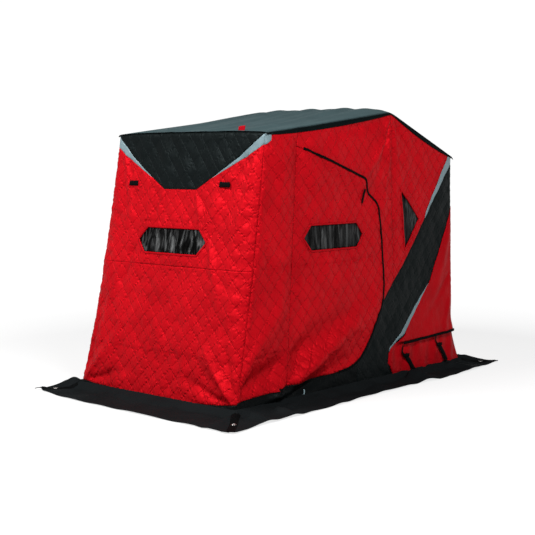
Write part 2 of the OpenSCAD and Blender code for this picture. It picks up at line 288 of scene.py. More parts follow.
# folds: where each starts and ends, its width and its height
side_folds = [
    # from the ridge corner
    (ridge_y + 0.00, 2.00, ridge_y - 0.42, 1.44, 0.038, 0.026),
    (ridge_y + 0.00, 1.98, ridge_y - 0.28, 1.36, 0.034, -0.026),
    (ridge_y - 0.03, 1.98, ridge_y - 1.15, 1.74, 0.040, -0.012),
    (ridge_y + 0.00, 1.96, ridge_y - 0.13, 1.20, 0.020, 0.014),
    (ridge_y + 0.02, 1.96, ridge_y + 0.02, 1.20, 0.018, -0.012),
    (ridge_y + 0.02, 1.96, ridge_y + 0.16, 1.30, 0.024, 0.010),
    (ridge_y + 0.02, 1.98, ridge_y + 0.52, 1.40, 0.040, -0.014),
    (ridge_y + 0.04, 2.00, back_y + 0.06, 1.58, 0.036, 0.012),
    # from the roof's front corner over the door
    (-1.06, 1.86, -0.74, 1.30, 0.030, -0.020),
    (-1.06, 1.88, -0.52, 1.34, 0.026, 0.018),
    (-0.70, 1.76, -0.36, 1.16, 0.026, -0.014),
    (-0.60, 1.80, 0.10, 1.28, 0.032, -0.012),
    (-0.80, 1.80, -0.84, 1.06, 0.024, 0.010),
    # from the foot of the front corner
    (-1.40, 0.10, 0.24, 0.66, 0.096, -0.060),
    (-1.10, 0.00, 0.52, 0.74, 0.068, 0.056),
    (-0.90, 0.02, 0.36, 0.38, 0.050, -0.024),
    (-1.40, 0.12, -0.50, 0.98, 0.070, 0.026),
    (-1.30, 0.14, -0.86, 1.20, 0.040, -0.008),
    # over the sled
    (back_y - 0.03, 1.20, ridge_y + 0.46, 0.36, 0.050, 0.012),
    (back_y - 0.02, 0.80, ridge_y + 0.30, 0.30, 0.036, -0.010),
    (back_y - 0.06, 0.60, ridge_y + 0.62, 0.12, 0.030, 0.010),
]
hinge_reach = 0.075


def hinge_line(z):
    """The door's sewn front edge, where the side is pulled in flat."""
    return ridge_y - hinge_ahead + hinge_rake * z


def place_side(flat, sign):
    """Point of the side's cloth for flat (y, z); sign is +1 right, -1 left."""
    y, z = flat[:, 0], flat[:, 1]
    from_front = y - front_line(z)
    from_back = back_line(z) - y
    from_roof = roof_line(y) - z
    loose = unit(np.minimum(from_front, from_back) / 0.08) * unit(from_roof / 0.06) ** 2
    loose = loose * unit((z - hem_z) / 0.05)
    hinge = hump(y - hinge_line(z), hinge_reach) * unit((1.90 - z) / 0.12) * unit((z - 0.04) / 0.08)
    x = half_width(z) + side_set(y, z) + loose * (folds(y, z, side_folds) + ripple(y, z))
    x = (1.0 - hinge) * x + hinge * (half_width(z) - 0.006)
    back_set, back_run = rounded_corner(from_back)
    front_set, front_run = rounded_corner(from_front)
    x -= front_set + back_set
    y = np.where(from_front < from_back, front_line(z) + front_run, back_line(z) - back_run)
    return np.stack([sign * x, y, z], axis=1)


diamond_wide = 0.104
diamond_high = 0.112
diamond_steps = 6
seam_clear = 0.0035
seam_reach = 0.034
cloth_thick = 0.005


def inside(points, outline):
    """Which points lie in an outline."""
    u, v = points[:, 0], points[:, 1]
    found = np.zeros(len(points), bool)
    outline = np.asarray(outline)
    for (u0, v0), (u1, v1) in zip(outline, np.roll(outline, -1, axis=0)):
        if v0 == v1:
            continue
        found ^= ((v0 > v) != (v1 > v)) & (u < u0 + (v - v0) * (u1 - u0) / (v1 - v0))
    return found


def nearest(points, starts, ends):
    """Distance to the nearest of some line pieces, and how far along its direction."""
    best = np.full(len(points), 9.0)
    along = np.zeros(len(points))
    for a, b in zip(starts, ends):
        ab = b - a
        length = math.hypot(*ab)
        if length < 1e-9:
            continue
        t = unit(((points - a) @ ab) / length**2)
        d = np.hypot(*(points - a - t[:, None] * ab).T)
        closer = d < best
        best[closer] = d[closer]
        direction = ab / length * (1.0 if ab[1] + 0.3 * ab[0] > 0 else -1.0)
        along[closer] = (points @ direction)[closer]
    return best, along


def resampled(line, closed, pitch=0.014):
    """The line's own points with others between them, no further apart than pitch."""
    line = np.asarray(line, float)
    ends = np.roll(line, -1, axis=0) if closed else line[1:]
    out = []
    for a, b in zip(line, ends):
        count = max(1, math.ceil(math.hypot(*(b - a)) / pitch))
        out.extend(a + (b - a) * k / count for k in range(count))
    if not closed:
        out.append(line[-1])
    return np.array(out)


def rounded(corners, steps=6):
    """An outline whose corners (u, v, run) are each rounded over that run."""
    out = []
    count = len(corners)
    for i, (u, v, run) in enumerate(corners):
        q = np.array([u, v])
        p = np.array(corners[i - 1][:2])
        s = np.array(corners[(i + 1) % count][:2])
        if run == 0:
            out.append(q)
            continue
        a = q + (p - q) / np.linalg.norm(p - q) * run
        b = q + (s - q) / np.linalg.norm(s - q) * run
        for k in range(steps + 1):
            f = k / steps
            out.append(a * (1 - f) ** 2 + q * 2 * f * (1 - f) + b * f * f)
    return np.array(out)


def cut_wall(lines, panel_of, panels):
    """Cuts a flat wall. lines are (points, closed); panel_of gives each point its panel's name."""
    points, edges = [], []
    for line, closed in lines:
        line = resampled(line, closed)
        first = len(points)
        points.extend(line)
        edges.extend((first + k, first + k + 1) for k in range(len(line) - 1))
        if closed:
            edges.append((first + len(line) - 1, first))
    seams = np.array(points)
    starts = seams[[e[0] for e in edges]]
    ends = seams[[e[1] for e in edges]]
    low, high = seams.min(0), seams.max(0)
    for name, (shift_u, shift_v) in panels.items():
        du, dv = diamond_wide / 2 / diamond_steps, diamond_high / 2 / diamond_steps
        n = int(max((high[0] - low[0]) / du, (high[1] - low[1]) / dv)) + 4
        i, j = np.meshgrid(np.arange(-n, n), np.arange(-n, n))
        mid = (low + high) / 2
        grid = np.stack([((i + j) * du).ravel(), ((i - j) * dv).ravel()], axis=1)
        grid += np.round(mid / [diamond_wide, diamond_high]) * [diamond_wide, diamond_high]
        grid -= [shift_u, shift_v]
        grid = grid[np.all((grid > low) & (grid < high), axis=1)]
        grid = grid[panel_of(grid) == name]
        if not len(grid):
            continue
        distance, _ = nearest(grid, starts, ends)
        points.extend(grid[distance > seam_clear])
    made = geometry.delaunay_2d_cdt([Vector(p) for p in points], edges, [], 0, 1e-7)
    flat = np.array([tuple(p) for p in made[0]])
    faces = np.array([f for f in made[2] if len(f) == 3])
    middles = flat[faces].mean(axis=1)
    return flat, faces, panel_of(middles)


def link_mesh(name, vertices, faces, materials):
    """A smooth mesh in the scene, from its points and faces."""
    mesh = bpy.data.meshes.new(name)
    mesh.from_pydata([tuple(v) for v in vertices], [], [tuple(int(k) for k in f) for f in faces])
    for material in materials:
        mesh.materials.append(material)
    mesh.polygons.foreach_set("use_smooth", [True] * len(mesh.polygons))
    mesh.update()
    piece = bpy.data.objects.new(name, mesh)
    bpy.context.scene.collection.objects.link(piece)
    return piece


def outward(flat, place, sign, facing):
    """Unit normals of a placed sheet."""
    step = 0.002
    du = place(flat + [step, 0.0], sign) - place(flat - [step, 0.0], sign)
    dv = place(flat + [0.0, step], sign) - place(flat - [0.0, step], sign)
    normal = np.cross(du, dv)
    normal /= np.maximum(np.linalg.norm(normal, axis=1, keepdims=True), 1e-12)
    return normal * facing


chance = np.random.default_rng(7)
crossings = 64
crossing_heights = chance.uniform(-1.0, 1.0, (crossings, crossings))


def quilting(flat, shift, puff, distance):
    """Height of the quilting: each diamond puffs a little and lies its own way between its corners."""
    u = (flat[:, 0] + shift[0]) / diamond_wide
    v = (flat[:, 1] + shift[1]) / diamond_high
    a, b = u + v, u - v
    full = (np.abs(np.sin(np.pi * a)) * np.abs(np.sin(np.pi * b))) ** 0.36
    i, j = np.floor(a).astype(int), np.floor(b).astype(int)
    f, g = a - i, b - j
    corner = lambda di, dj: crossing_heights[(i + di) % crossings, (j + dj) % crossings]
    tilt = (corner(0, 0) * (1 - f) + corner(1, 0) * f) * (1 - g) + (corner(0, 1) * (1 - f) + corner(1, 1) * f) * g
    gathers = 0.0
    for across, along, line in ((a, b, np.round(a).astype(int)), (b, a, np.round(b).astype(int) + 31)):
        strong = 0.5 + 0.5 * crossing_heights[line % crossings, np.floor(2.0 * along).astype(int) % crossings]
        phase = 9.0 * crossing_heights[(line + 17) % crossings, 5]
        gathers = gathers + strong * np.sin(4.3 * np.pi * along + phase) * hump(across - np.round(across), 0.24)
    soft = unit(distance / 0.014)
    return puff * (full * soft + 0.42 * gathers * soft + 2.4 * tilt * unit(distance / 0.07))


def smallest_rectangle(points):
    """Width and length of the smallest rectangle a flat piece can be cut from."""
    best = None
    for degrees in range(0, 90, 3):
        c, s = math.cos(math.radians(degrees)), math.sin(math.radians(degrees))
        turned = points @ np.array([[c, -s], [s, c]])
        size = np.ptp(turned, axis=0)
        if best is None or size[0] * size[1] < best[0] * best[1]:
            best = size
    return float(best[0]), float(best[1])


def thickened(piece, thick, inner_material=0):
    """Gives a sheet its thickness, inwards from its outer face."""
    solid = piece.modifiers.new("thickness", "SOLIDIFY")
    solid.thickness = thick
    solid.offset = -1.0
    solid.material_offset = inner_material
    bpy.ops.object.select_all(action="DESELECT")
    bpy.context.view_layer.objects.active = piece
    piece.select_set(True)
    bpy.ops.object.modifier_apply(modifier=solid.name)


def sew_panel(
    name, cut, panel, place, sign, facing, materials, shift=(0.0, 0.0), puff=0.0, pucker=0.0, lift=0.0,
    thick=cloth_thick, creases=(), extra=None, calm=None, ease=None,
):
    """Lays one cut panel on its wall, puffs its diamonds, puckers its seams and gives it thickness."""
    flat, faces, names = cut
    faces = faces[names == panel]
    used, inverse = np.unique(faces.ravel(), return_inverse=True)
    faces = inverse.reshape(-1, 3)
    flat = flat[used]
    a, b, c = flat[faces[:, 0]], flat[faces[:, 1]], flat[faces[:, 2]]
    turn = np.cross(b - a, c - a)
    area = float(np.abs(turn).sum() / 2)
    faces[turn * facing < 0] = faces[turn * facing < 0][:, ::-1]
    pairs = np.sort(np.concatenate([faces[:, [0, 1]], faces[:, [1, 2]], faces[:, [2, 0]]]), axis=1)
    rim, count = np.unique(pairs, axis=0, return_counts=True)
    rim = rim[count == 1]
    distance, along = nearest(flat, flat[rim[:, 0]], flat[rim[:, 1]])
    if ease is not None:
        distance = distance + ease(flat)
    near_seam = np.exp(-distance / seam_reach)
    height = quilting(flat, shift, puff, distance)
    for crease in creases:
        crease = resampled(crease, False, 0.03)
        off, run = nearest(flat, crease[:-1], crease[1:])
        close = np.exp(-off / 0.018)
        gathers = 1.6 * np.sin(run * 150.0 + 2.0 * np.sin(run * 23.0)) * close
        height += pucker * (gathers - hump(off, 0.008))
        near_seam = np.maximum(near_seam, close)
    if extra is not None:
        height += extra(flat)
    wave = np.sin(along * 170.0 + 3.0 * np.sin(along * 31.0)) * (0.55 + 0.45 * np.sin(along * 19.0 + 0.7))
    wave += 0.5 * np.sin(along * 97.0 + 1.3)
    height += pucker * wave * unit(distance / 0.012) * near_seam
    if calm is not None:
        height *= calm(flat)
    points = place(flat, sign) + outward(flat, place, sign, facing) * (height + lift)[:, None]
    piece = link_mesh(name, points, faces, materials)
    layer = piece.data.uv_layers.new(name="cloth")
    loops = np.empty(len(piece.data.loops), int)
    piece.data.loops.foreach_get("vertex_index", loops)
    layer.data.foreach_set("uv", (flat + shift)[loops].ravel())
    # The seam attribute holds nearness to the panel's edges and sewn creases; the cloth finishes use it to paint shade
    # there and to lay more crinkles.
    seam = piece.data.attributes.new("seam", "FLOAT", "POINT")
    seam.data.foreach_set("value", near_seam)
    thickened(piece, thick, 1 if len(materials) > 1 else 0)
    size = smallest_rectangle(flat)
    area = min(area, size[0] * size[1])
    return piece


def arithmetic(tree, operation, *values):
    """The result of a sum on numbers or sockets."""
    made = tree.nodes.new("ShaderNodeMath")
    made.operation = operation
    for k, value in enumerate(values):
        if isinstance(value, bpy.types.NodeSocket):
            tree.links.new(value, made.inputs[k])
        else:
            made.inputs[k].default_value = value
    return made.outputs[0]


def shaded(tree, shader, colour, darkness):
    """The base colour multiplied by a grey value."""
    tint = node(tree, "ShaderNodeMix", data_type="RGBA", blend_type="MULTIPLY")
    tint.inputs[0].default_value = 1.0
    tint.inputs[6].default_value = (*colour, 1.0)
    grey = node(tree, "ShaderNodeCombineColor")
    for channel in ("Red", "Green", "Blue"):
        tree.links.new(darkness, grey.inputs[channel])
    tree.links.new(grey.outputs["Color"], tint.inputs[7])
    tree.links.new(tint.outputs[2], shader.inputs["Base Color"])


def cloth_finish(name, colour, roughness, specular, crinkle, gloss_tint=(1.0, 1.0, 1.0), stitch_depth=0.0, satin=0.0):
    """Woven cloth with crinkles, a fine weave and a random tone, with painted shade near its seams and sewn creases.
    With a stitch depth it has puckered lines of quilting, with painted shade along them.
    """
    material, tree, shader = new_finish(name, colour, roughness, specular, satin)
    shader.inputs["Specular Tint"].default_value = (*gloss_tint, 1.0)
    place = object_place(tree)
    slow = noise(tree, place, Scale=4.0, Detail=5.0, Roughness=0.65)
    shade = ranged(tree, slow, 0.3, 0.7, 0.82, 1.10)
    seam = node(tree, "ShaderNodeAttribute", attribute_name="seam").outputs["Fac"]
    # darkness: a random tone from slow noise, times painted shade up to 12 % deep where the seam attribute marks a seam
    # or sewn crease.
    darkness = arithmetic(tree, "MULTIPLY", shade, arithmetic(tree, "MULTIPLY_ADD", seam, -0.12, 1.0))
    creases = noise(
        tree, place, noise_type="RIDGED_MULTIFRACTAL", Scale=17.0, Detail=3.0, Roughness=0.6, Distortion=1.1
    )
    more_at_seams = arithmetic(tree, "MULTIPLY_ADD", seam, 0.9, 0.55)
    normal = bumped(tree, arithmetic(tree, "MULTIPLY", creases, more_at_seams), crinkle)
    if stitch_depth:
        parts = node(tree, "ShaderNodeSeparateXYZ")
        tree.links.new(node(tree, "ShaderNodeUVMap", uv_map="cloth").outputs["UV"], parts.inputs["Vector"])
        u = arithmetic(tree, "DIVIDE", parts.outputs["X"], diamond_wide)
        v = arithmetic(tree, "DIVIDE", parts.outputs["Y"], diamond_high)
        ways = (arithmetic(tree, "ADD", u, v), arithmetic(tree, "SUBTRACT", u, v))
        wander = noise(tree, place, Scale=9.0, Detail=1.0)
        turn = arithmetic(tree, "MULTIPLY", wander, 26.0)
        stitch = pucker = 0.0
        for across, along in (ways, ways[::-1]):
            offset = arithmetic(tree, "ABSOLUTE", arithmetic(tree, "SUBTRACT", arithmetic(tree, "FRACT", across), 0.5))
            near = ranged(tree, offset, 0.440, 0.496, 0.0, 1.0, smooth=True)
            wide = ranged(tree, offset, 0.22, 0.47, 0.0, 1.0, smooth=True)
            wave = arithmetic(tree, "SINE", arithmetic(tree, "MULTIPLY_ADD", along, 15.0, turn))
            stitch = arithmetic(tree, "MAXIMUM", stitch, near)
            pucker = arithmetic(tree, "ADD", pucker, arithmetic(tree, "MULTIPLY", wave, wide))
        # Painted shade along the stitched lines, where the quilting pinches in.
        stitch_shadow = arithmetic(tree, "MULTIPLY_ADD", stitch, -66.0 * stitch_depth, 1.0)
        darkness = arithmetic(tree, "MULTIPLY", darkness, stitch_shadow)
        puckered = arithmetic(tree, "MULTIPLY", pucker, wander)
        normal = bumped(tree, arithmetic(tree, "MULTIPLY_ADD", stitch, -0.7, puckered), stitch_depth, normal)
    shaded(tree, shader, colour, darkness)
    normal = bumped(tree, noise(tree, place, Scale=620.0, Detail=1.0), 0.0002, normal)
    tree.links.new(normal, shader.inputs["Normal"])
    return material


red_gloss = (1.0, 0.10, 0.13)
red_quilt = cloth_finish(
    "red_quilted_nylon", (0.298, 0.0024, 0.0054), roughness=0.49, specular=0.05, crinkle=0.0060, gloss_tint=red_gloss,
    stitch_depth=0.0026, satin=0.25,
)
red_plain = cloth_finish(
    "red_plain_nylon", (0.25, 0.0018, 0.0045), roughness=0.46, specular=0.04, crinkle=0.0050, gloss_tint=red_gloss,
    satin=0.26,
)
black_quilt = cloth_finish(
    "black_quilted_nylon", (0.0014, 0.0022, 0.0023), roughness=0.50, specular=0.05, crinkle=0.0040,
    gloss_tint=(0.8, 1.0, 1.0), stitch_depth=0.0012,
)
black_plain = cloth_finish(
    "black_coated_cloth", (0.0012, 0.0017, 0.0018), roughness=0.50, specular=0.04, crinkle=0.0060,
    gloss_tint=(0.9, 1.0, 1.0),
)
lining = cloth_finish("dark_lining", (0.012, 0.013, 0.014), roughness=0.75, specular=0.10, crinkle=0.0015)
door_top = 1.752
door_bottom = 0.140
header_level = 1.370
cover_level = 0.283
sill_corner = ridge_y - 0.486
sill_front = hinge_line(0.0) - 0.094
doorway = rounded([
    (hinge_line(door_bottom), door_bottom, 0),
    (ridge_y - 0.580, 0.160, 0.110),
    (ridge_y - 0.370, 0.250, 0.110),
    (ridge_y - 0.130, 0.650, 0.160),
    (ridge_y - 0.146, 1.100, 0.120),
    (ridge_y - 0.190, 1.345, 0.060),
    (ridge_y - 0.318, 1.425, 0.050),
    (ridge_y - 0.345, 1.522, 0.050),
    (hinge_line(door_top), door_top, 0),
])
window_long = 0.672
window_high = 0.170
window_point = 0.076
window_level = 1.124


def window_outline(middle_u, middle_v, long=window_long):
    """A window pointed at both ends."""
    half, high, point = long / 2, window_high / 2, window_point
    corners = [
        (-half, 0), (point - half, -high), (half - point, -high), (half, 0), (half - point, high), (point - half, high),
    ]
    return np.array([(middle_u + u, middle_v + v) for u, v in corners])


door_window = window_outline(ridge_y - 0.722, window_level)
rear_window = np.array([(ridge_y + 0.120, 1.428), (ridge_y + 0.158, 0.985), (ridge_y + 0.352, 1.207)])
band_lower = [
    (ridge_y - 0.001, 0.0), (ridge_y - 0.091, 0.140), (ridge_y - 0.082, 0.215), (ridge_y - 0.030, 0.262),
    (ridge_y + 0.124, 0.330), (ridge_y + 0.494, 0.725), (back_y - 0.016, 1.290), (back_y + 0.10, 1.292),
]
band_upper = [
    (back_y + 0.10, back_z + 0.015), (back_y, back_z + 0.015), (ridge_y + 0.440, 1.212), (ridge_y + 0.124, 0.860),
    (ridge_y - 0.166, 0.603), (sill_corner, 0.400),
]
band_outline = np.array([(sill_corner, 0.0), *band_lower, *band_upper])
under_band = np.array([*band_lower, (back_y + 0.10, 0.0)])
sill_outline = np.array([
    (front_hem_y - 0.1, 0.0), (sill_corner, 0.0), (sill_corner, 0.300), (hinge_line(door_bottom) + 0.060, 0.200),
    (hinge_line(door_bottom), door_bottom), (sill_front, 0.134), (sill_front, 0.122), (-1.073, 0.112), (-1.249, 0.098),
    (front_hem_y - 0.1, 0.083),
])
upper_tape = np.array([
    (back_y + 0.10, back_z + 0.14), (back_y - 0.060, back_z + 0.020), (ridge_y + 0.455, 1.262),
    (ridge_y + 0.438, 1.206), (ridge_y + 0.512, 1.300), (back_y - 0.010, back_z - 0.030),
    (back_y + 0.10, back_z - 0.035),
])
lower_tape = np.array([
    (ridge_y + 0.470, 0.699), (ridge_y + 0.300, 0.517), (ridge_y + 0.128, 0.334), (ridge_y - 0.030, 0.262),
    (ridge_y - 0.076, 0.226), (ridge_y - 0.060, 0.256), (ridge_y + 0.084, 0.350), (ridge_y + 0.278, 0.536),
])
corner_tape = np.array([
    (eave_y - 0.20, 1.90), (eave_y + 0.062, 1.90), (eave_y + 0.052, 1.790), (eave_y, 1.764), (eave_y - 0.20, 1.70),
])
front_edge = [(front_line(z), z) for z in np.linspace(hem_z, eave_z, 60)]
roof_edge = [(y, roof_line(y) - 0.009) for y in np.linspace(eave_y, back_y, 90)]
back_edge = [(back_line(z), z) for z in np.linspace(back_z, hem_z, 60)]
side_outline = np.array(front_edge + roof_edge[1:-1] + back_edge)


def side_panel_of(points):
    """The panel of the right side that each flat point belongs to."""
    y, z = points[:, 0], points[:, 1]
    name = np.full(len(points), "rear_panel", dtype=object)
    name[(y < ridge_y) & (z >= header_level)] = "door_header"
    name[(y < ridge_y) & (z < header_level)] = "door_jamb"
    name[inside(points, band_outline)] = "band"
    name[inside(points, under_band) & (z >= cover_level)] = "lower_panel"
    name[inside(points, under_band) & (z < cover_level)] = "sled_cover"
    name[inside(points, upper_tape)] = "upper_tape"
    name[inside(points, lower_tape)] = "lower_tape"
    name[y < hinge_line(z)] = "front_panel"
    name[inside(points, corner_tape)] = "corner_tape"
    name[inside(points, sill_outline)] = "door_sill"
    name[inside(points, doorway)] = "door"
    name[inside(points, door_window)] = "door_window"
    name[inside(points, rear_window)] = "rear_window"
    name[~inside(points, side_outline)] = "outside"
    return name


def above_hem(outline):
    """An outline drawn in to the hem where it runs below it."""
    return np.clip(outline, [-9.0, hem_z], [9.0, 9.0])


# how far each panel's quilting is shifted
side_quilts = {
    "front_panel": (0.013, 0.021), "door": (0.0, 0.0), "door_header": (0.037, 0.015), "door_jamb": (0.037, 0.015),
    "rear_panel": (0.055, 0.010), "band": (0.030, 0.030), "lower_panel": (0.010, 0.010), "sled_cover": (0.0, 0.02),
    "door_sill": (0.030, 0.0),
    **dict.fromkeys(("upper_tape", "lower_tape", "corner_tape", "door_window", "rear_window"), (0.0, 0.0)),
}
hinge_seam = [(hinge_line(z), z) for z in (door_top, float(roof_line(hinge_line(1.80))))]
ridge_seam = [(ridge_y, cover_level), (ridge_y, float(roof_line(ridge_y)))]
side_cut = cut_wall(
    [
        (side_outline, True), (doorway, True), (door_window, True), (rear_window, True),
        (above_hem(band_outline), True), (hinge_seam, False), (ridge_seam, False),
        ([(ridge_y - 0.30, header_level), (ridge_y, header_level)], False),
        ([(ridge_y - 0.10, cover_level), (back_y, cover_level)], False),
        (above_hem(sill_outline), True),
        (upper_tape, True), (lower_tape, True), (corner_tape, True),
    ],
    side_panel_of,
    side_quilts,
)


def flap_edge(flat):
    """The lower panel stands off the sled as a flap."""
    return 0.012 * hump(flat[:, 1] - cover_level, 0.07) + 0.004


def cover_slack(flat):
    """The sled cover is tucked in under the flap and hangs in loose folds."""
    y, z = flat[:, 0], flat[:, 1]
    fall = unit((cover_level - z) / 0.06)
    return -0.010 + 0.006 * fall * (np.sin(31.0 * y + 6.0 * z) + 0.6 * np.sin(53.0 * y - 9.0 * z)) + 0.010 * fall


def roof_wrap(y):
    """How far the roof cloth is turned down over the side."""
    front = unit((y - eave_y) / (ridge_y - eave_y))
    back = unit((y - ridge_y) / (back_y - ridge_y))
    ends = unit((y - eave_y) / 0.10) * unit((back_y - y) / 0.08)
    over_front = 0.030 * np.sin(np.pi * front) ** 0.5 * (y < ridge_y)
    return 0.011 + 0.003 * ends + over_front + 0.036 * np.sin(np.pi * back) ** 0.8 * (y >= ridge_y)


def under_wrap(flat):
    """The side's cloth lies flat where the roof cloth is sewn over it."""
    below = roof_line(flat[:, 0]) - roof_wrap(flat[:, 0]) - flat[:, 1]
    return unit(below / 0.020)


def header_ease(flat):
    """The short seam beside the door is not pulled tight."""
    behind_door = np.abs(flat[:, 0] - ridge_y + 0.12) < 0.11
    return 0.12 * hump(flat[:, 1] - header_level, 0.05) * behind_door


front_creases = [[(-1.10, 0.930), (-0.72, 0.945)], [(-1.28, 0.350), (-0.78, 0.380)]]
band_creases = [[(ridge_y, 0.05), (ridge_y, 0.95)]]
red_quilted = ([red_quilt, lining], 0.0028, 0.0026, "quilted_fabric", [], None)
side_looks = {
    # panel: (materials, puff, pucker, slot, creases, extra)
    "front_panel": ([red_quilt, lining], 0.0031, 0.0026, "quilted_fabric", front_creases, None),
    "door_header": red_quilted,
    "door_jamb": red_quilted,
    "rear_panel": red_quilted,
    "band": ([black_quilt, lining], 0.0018, 0.0012, "black_fabric", band_creases, None),
    "lower_panel": ([red_plain, lining], 0.0, 0.0014, "quilted_fabric", [], flap_edge),
    "sled_cover": ([red_plain, lining], 0.0, 0.0020, "cover_fabric", [], cover_slack),
    "door_sill": ([black_plain, lining], 0.0, 0.0022, "black_fabric", [], None),
}
sides = (("right", 1), ("left", -1))
for side, sign in sides:
    for panel, (materials, puff, pucker, slot, creases, extra) in side_looks.items():
        piece = sew_panel(
            f"{side}_{panel}_cloth", side_cut, panel, place_side, sign, sign, materials, side_quilts[panel], puff,
            pucker, creases=creases, extra=extra, calm=under_wrap, ease=header_ease,
        )
        fitted(piece, replaces=f"{side}_{panel}")


# ---- Side tapes ----
# Pale reflective tape, sewn along both edges of the diagonal band and round the
# roof's front corner.

pale_tape = cloth_finish(
    "pale_reflective_tape", (0.105, 0.150, 0.165), roughness=0.40, specular=0.15, crinkle=0.0010
)
for side, sign in sides:
    for panel in ("upper_tape", "lower_tape", "corner_tape"):
        tape = sew_panel(
            f"{side}_{panel}", side_cut, panel, place_side, sign, sign, [pale_tape], pucker=0.0005, lift=0.0015,
            thick=0.003,
        )
        fitted(tape)


# ---- Sled cover straps ----
# Black webbing: a binding along the flap's edge, and two buckled straps that
# hold the cover down to the skirt. A small pale tag is sewn on the sill.


def webbing_finish(name, colour):
    """Flat woven webbing or zip tape with a fine rib."""
    material, tree, shader = new_finish(name, colour, roughness=0.7, specular=0.02)
    rib = node(tree, "ShaderNodeTexWave", Scale=260.0, Distortion=1.5)
    tree.links.new(object_place(tree), rib.inputs["Vector"])
    tree.links.new(bumped(tree, rib.outputs["Fac"], 0.0004, strength=0.6), shader.inputs["Normal"])
    return material


def beside(path, closed):
    """The path in short steps, and the way to its right at each."""
    path = resampled(path, closed, 0.010)
    before, after = np.roll(path, 1, axis=0), np.roll(path, -1, axis=0)
    if not closed:
        before[0], after[-1] = path[0], path[-1]
    along = after - before
    along /= np.maximum(np.linalg.norm(along, axis=1, keepdims=True), 1e-12)
    return path, np.stack([along[:, 1], -along[:, 0]], axis=1)


def ribbon(name, path, place, sign, material, width, thick, closed=False, lift=0.0, rise=0.4):
    """A flat strip sewn along a path on a wall, with a slightly crowned face."""
    path, side = beside(path, closed)
    section = [
        (-0.5, 0.0), (-0.46, 0.8), (-0.2, 1.0), (0.0, 1.0 + rise), (0.2, 1.0), (0.46, 0.8), (0.5, 0.0), (0.0, -0.4),
    ]
    rings = []
    for across, up in section:
        flat = path + side * (across * width)
        rings.append(place(flat, sign) + outward(flat, place, sign, sign) * (lift + up * thick))
    rings = np.array(rings)
    count, length = len(section), len(path)
    vertices = rings.transpose(1, 0, 2).reshape(-1, 3)
    faces = []
    for i in range(length if closed else length - 1):
        here, there = i * count, ((i + 1) % length) * count
        for k in range(count):
            j = (k + 1) % count
            quad = (here + k, here + j, there + j, there + k)
            faces.append(quad if sign > 0 else quad[::-1])
    if not closed:
        first = tuple(range(count))
        last = tuple(range((length - 1) * count, length * count))
        faces.extend([first[::-1], last] if sign > 0 else [first, last[::-1]])
    return link_mesh(name, vertices, faces, [material])


black_webbing = webbing_finish("black_webbing", (0.0015, 0.0017, 0.0018))
straps = ((0.590, 0.707, 0.180, 0.045), (1.050, 1.165, 0.208, 0.062))


def side_webbing(name, path, sign, width, thick, lift, rise=0.4, body="shelter", replaces=None):
    """A strip of black webbing sewn on a side."""
    strip = ribbon(name, path, place_side, sign, black_webbing, width, thick, lift=lift, rise=rise)
    fitted(strip, body, replaces)


for side, sign in sides:
    flap_foot = [(0.560, 0.270), (0.90, 0.281), (back_line(0.30) - 0.010, 0.296)]
    side_webbing(f"{side}_flap_binding", flap_foot, sign, width=0.021, thick=0.003, lift=0.020)
    for k, (top_y, foot_y, top_z, foot_z) in enumerate(straps):
        strap = [(top_y, top_z), ((top_y + foot_y) / 2 + 0.004, (top_z + foot_z) / 2), (foot_y, foot_z)]
        tail = [(top_y - 0.030, top_z + 0.075), (top_y - 0.042, top_z + 0.030), (top_y - 0.020, top_z - 0.004)]
        bar = [(top_y - 0.034, top_z - 0.004), (top_y + 0.040, top_z - 0.004)]
        name = f"{side}_strap_{k + 1}"
        packed = "sled_straps" if name == "right_strap_1" else None
        side_webbing(name, strap, sign, width=0.042, thick=0.002, lift=0.012)
        side_webbing(f"{name}_tail", tail, sign, width=0.015, thick=0.002, lift=0.012)
        side_webbing(f"{name}_buckle", bar, sign, width=0.026, thick=0.005, lift=0.016, replaces=packed)
    tag_line = [(-0.600, 0.085), (-0.628, 0.048)]
    tag = ribbon(f"{side}_sill_tag", tag_line, place_side, sign, pale_tape, width=0.010, thick=0.001, lift=0.004)
    fitted(tag)


# ---- Doors ----
# Each door is one quilted leaf, sewn along its front edge over a black tape and
# closed by a black zip round the rest, with a webbing toggle beside the zip.


def moved_aside(path, distance, closed=False):
    """The path moved to its right by a distance."""
    path, aside = beside(path, closed)
    return path + aside * distance


zip_line = np.array([*doorway[1:-1], (hinge_line(door_top) + 0.058, door_top - 0.012)])
hinge_tape = [(hinge_line(z) + 0.012, z) for z in (door_bottom + 0.01, 0.95, door_top - 0.03)]
door_crease = [(-0.66, 0.945), (-0.20, 0.940), (0.20, 0.952)]
toggle = [(0.106, 1.452), (0.091, 1.402), (0.071, 1.349)]
zip_shift = 0.0042
for side, sign in sides:
    door = f"{side}_door"
    leaf = sew_panel(
        f"{door}_cloth", side_cut, "door", place_side, sign, sign, [red_quilt, lining], side_quilts["door"],
        puff=0.0031, pucker=0.0026, creases=[door_crease],
    )
    fitted(leaf, door, door)
    side_webbing(f"{side}_hinge_tape", hinge_tape, sign, width=0.040, thick=0.0012, lift=-0.0120, rise=0.1)
    for part, shift, body in (("outer", zip_shift, "shelter"), ("inner", -zip_shift, door)):
        line = moved_aside(zip_line, shift)
        side_webbing(
            f"{side}_zip_{part}", line, sign, width=0.0086, thick=0.0024, lift=0.0030, rise=0.2, body=body
        )
    side_webbing(f"{door}_toggle", toggle, sign, width=0.021, thick=0.003, lift=0.009, body=door)


# ---- Side windows ----
# Thin smoke-dark vinyl panes, slack enough to ripple, bound in with smooth red
# cloth: a six-sided one in each door and a three-sided one behind it.


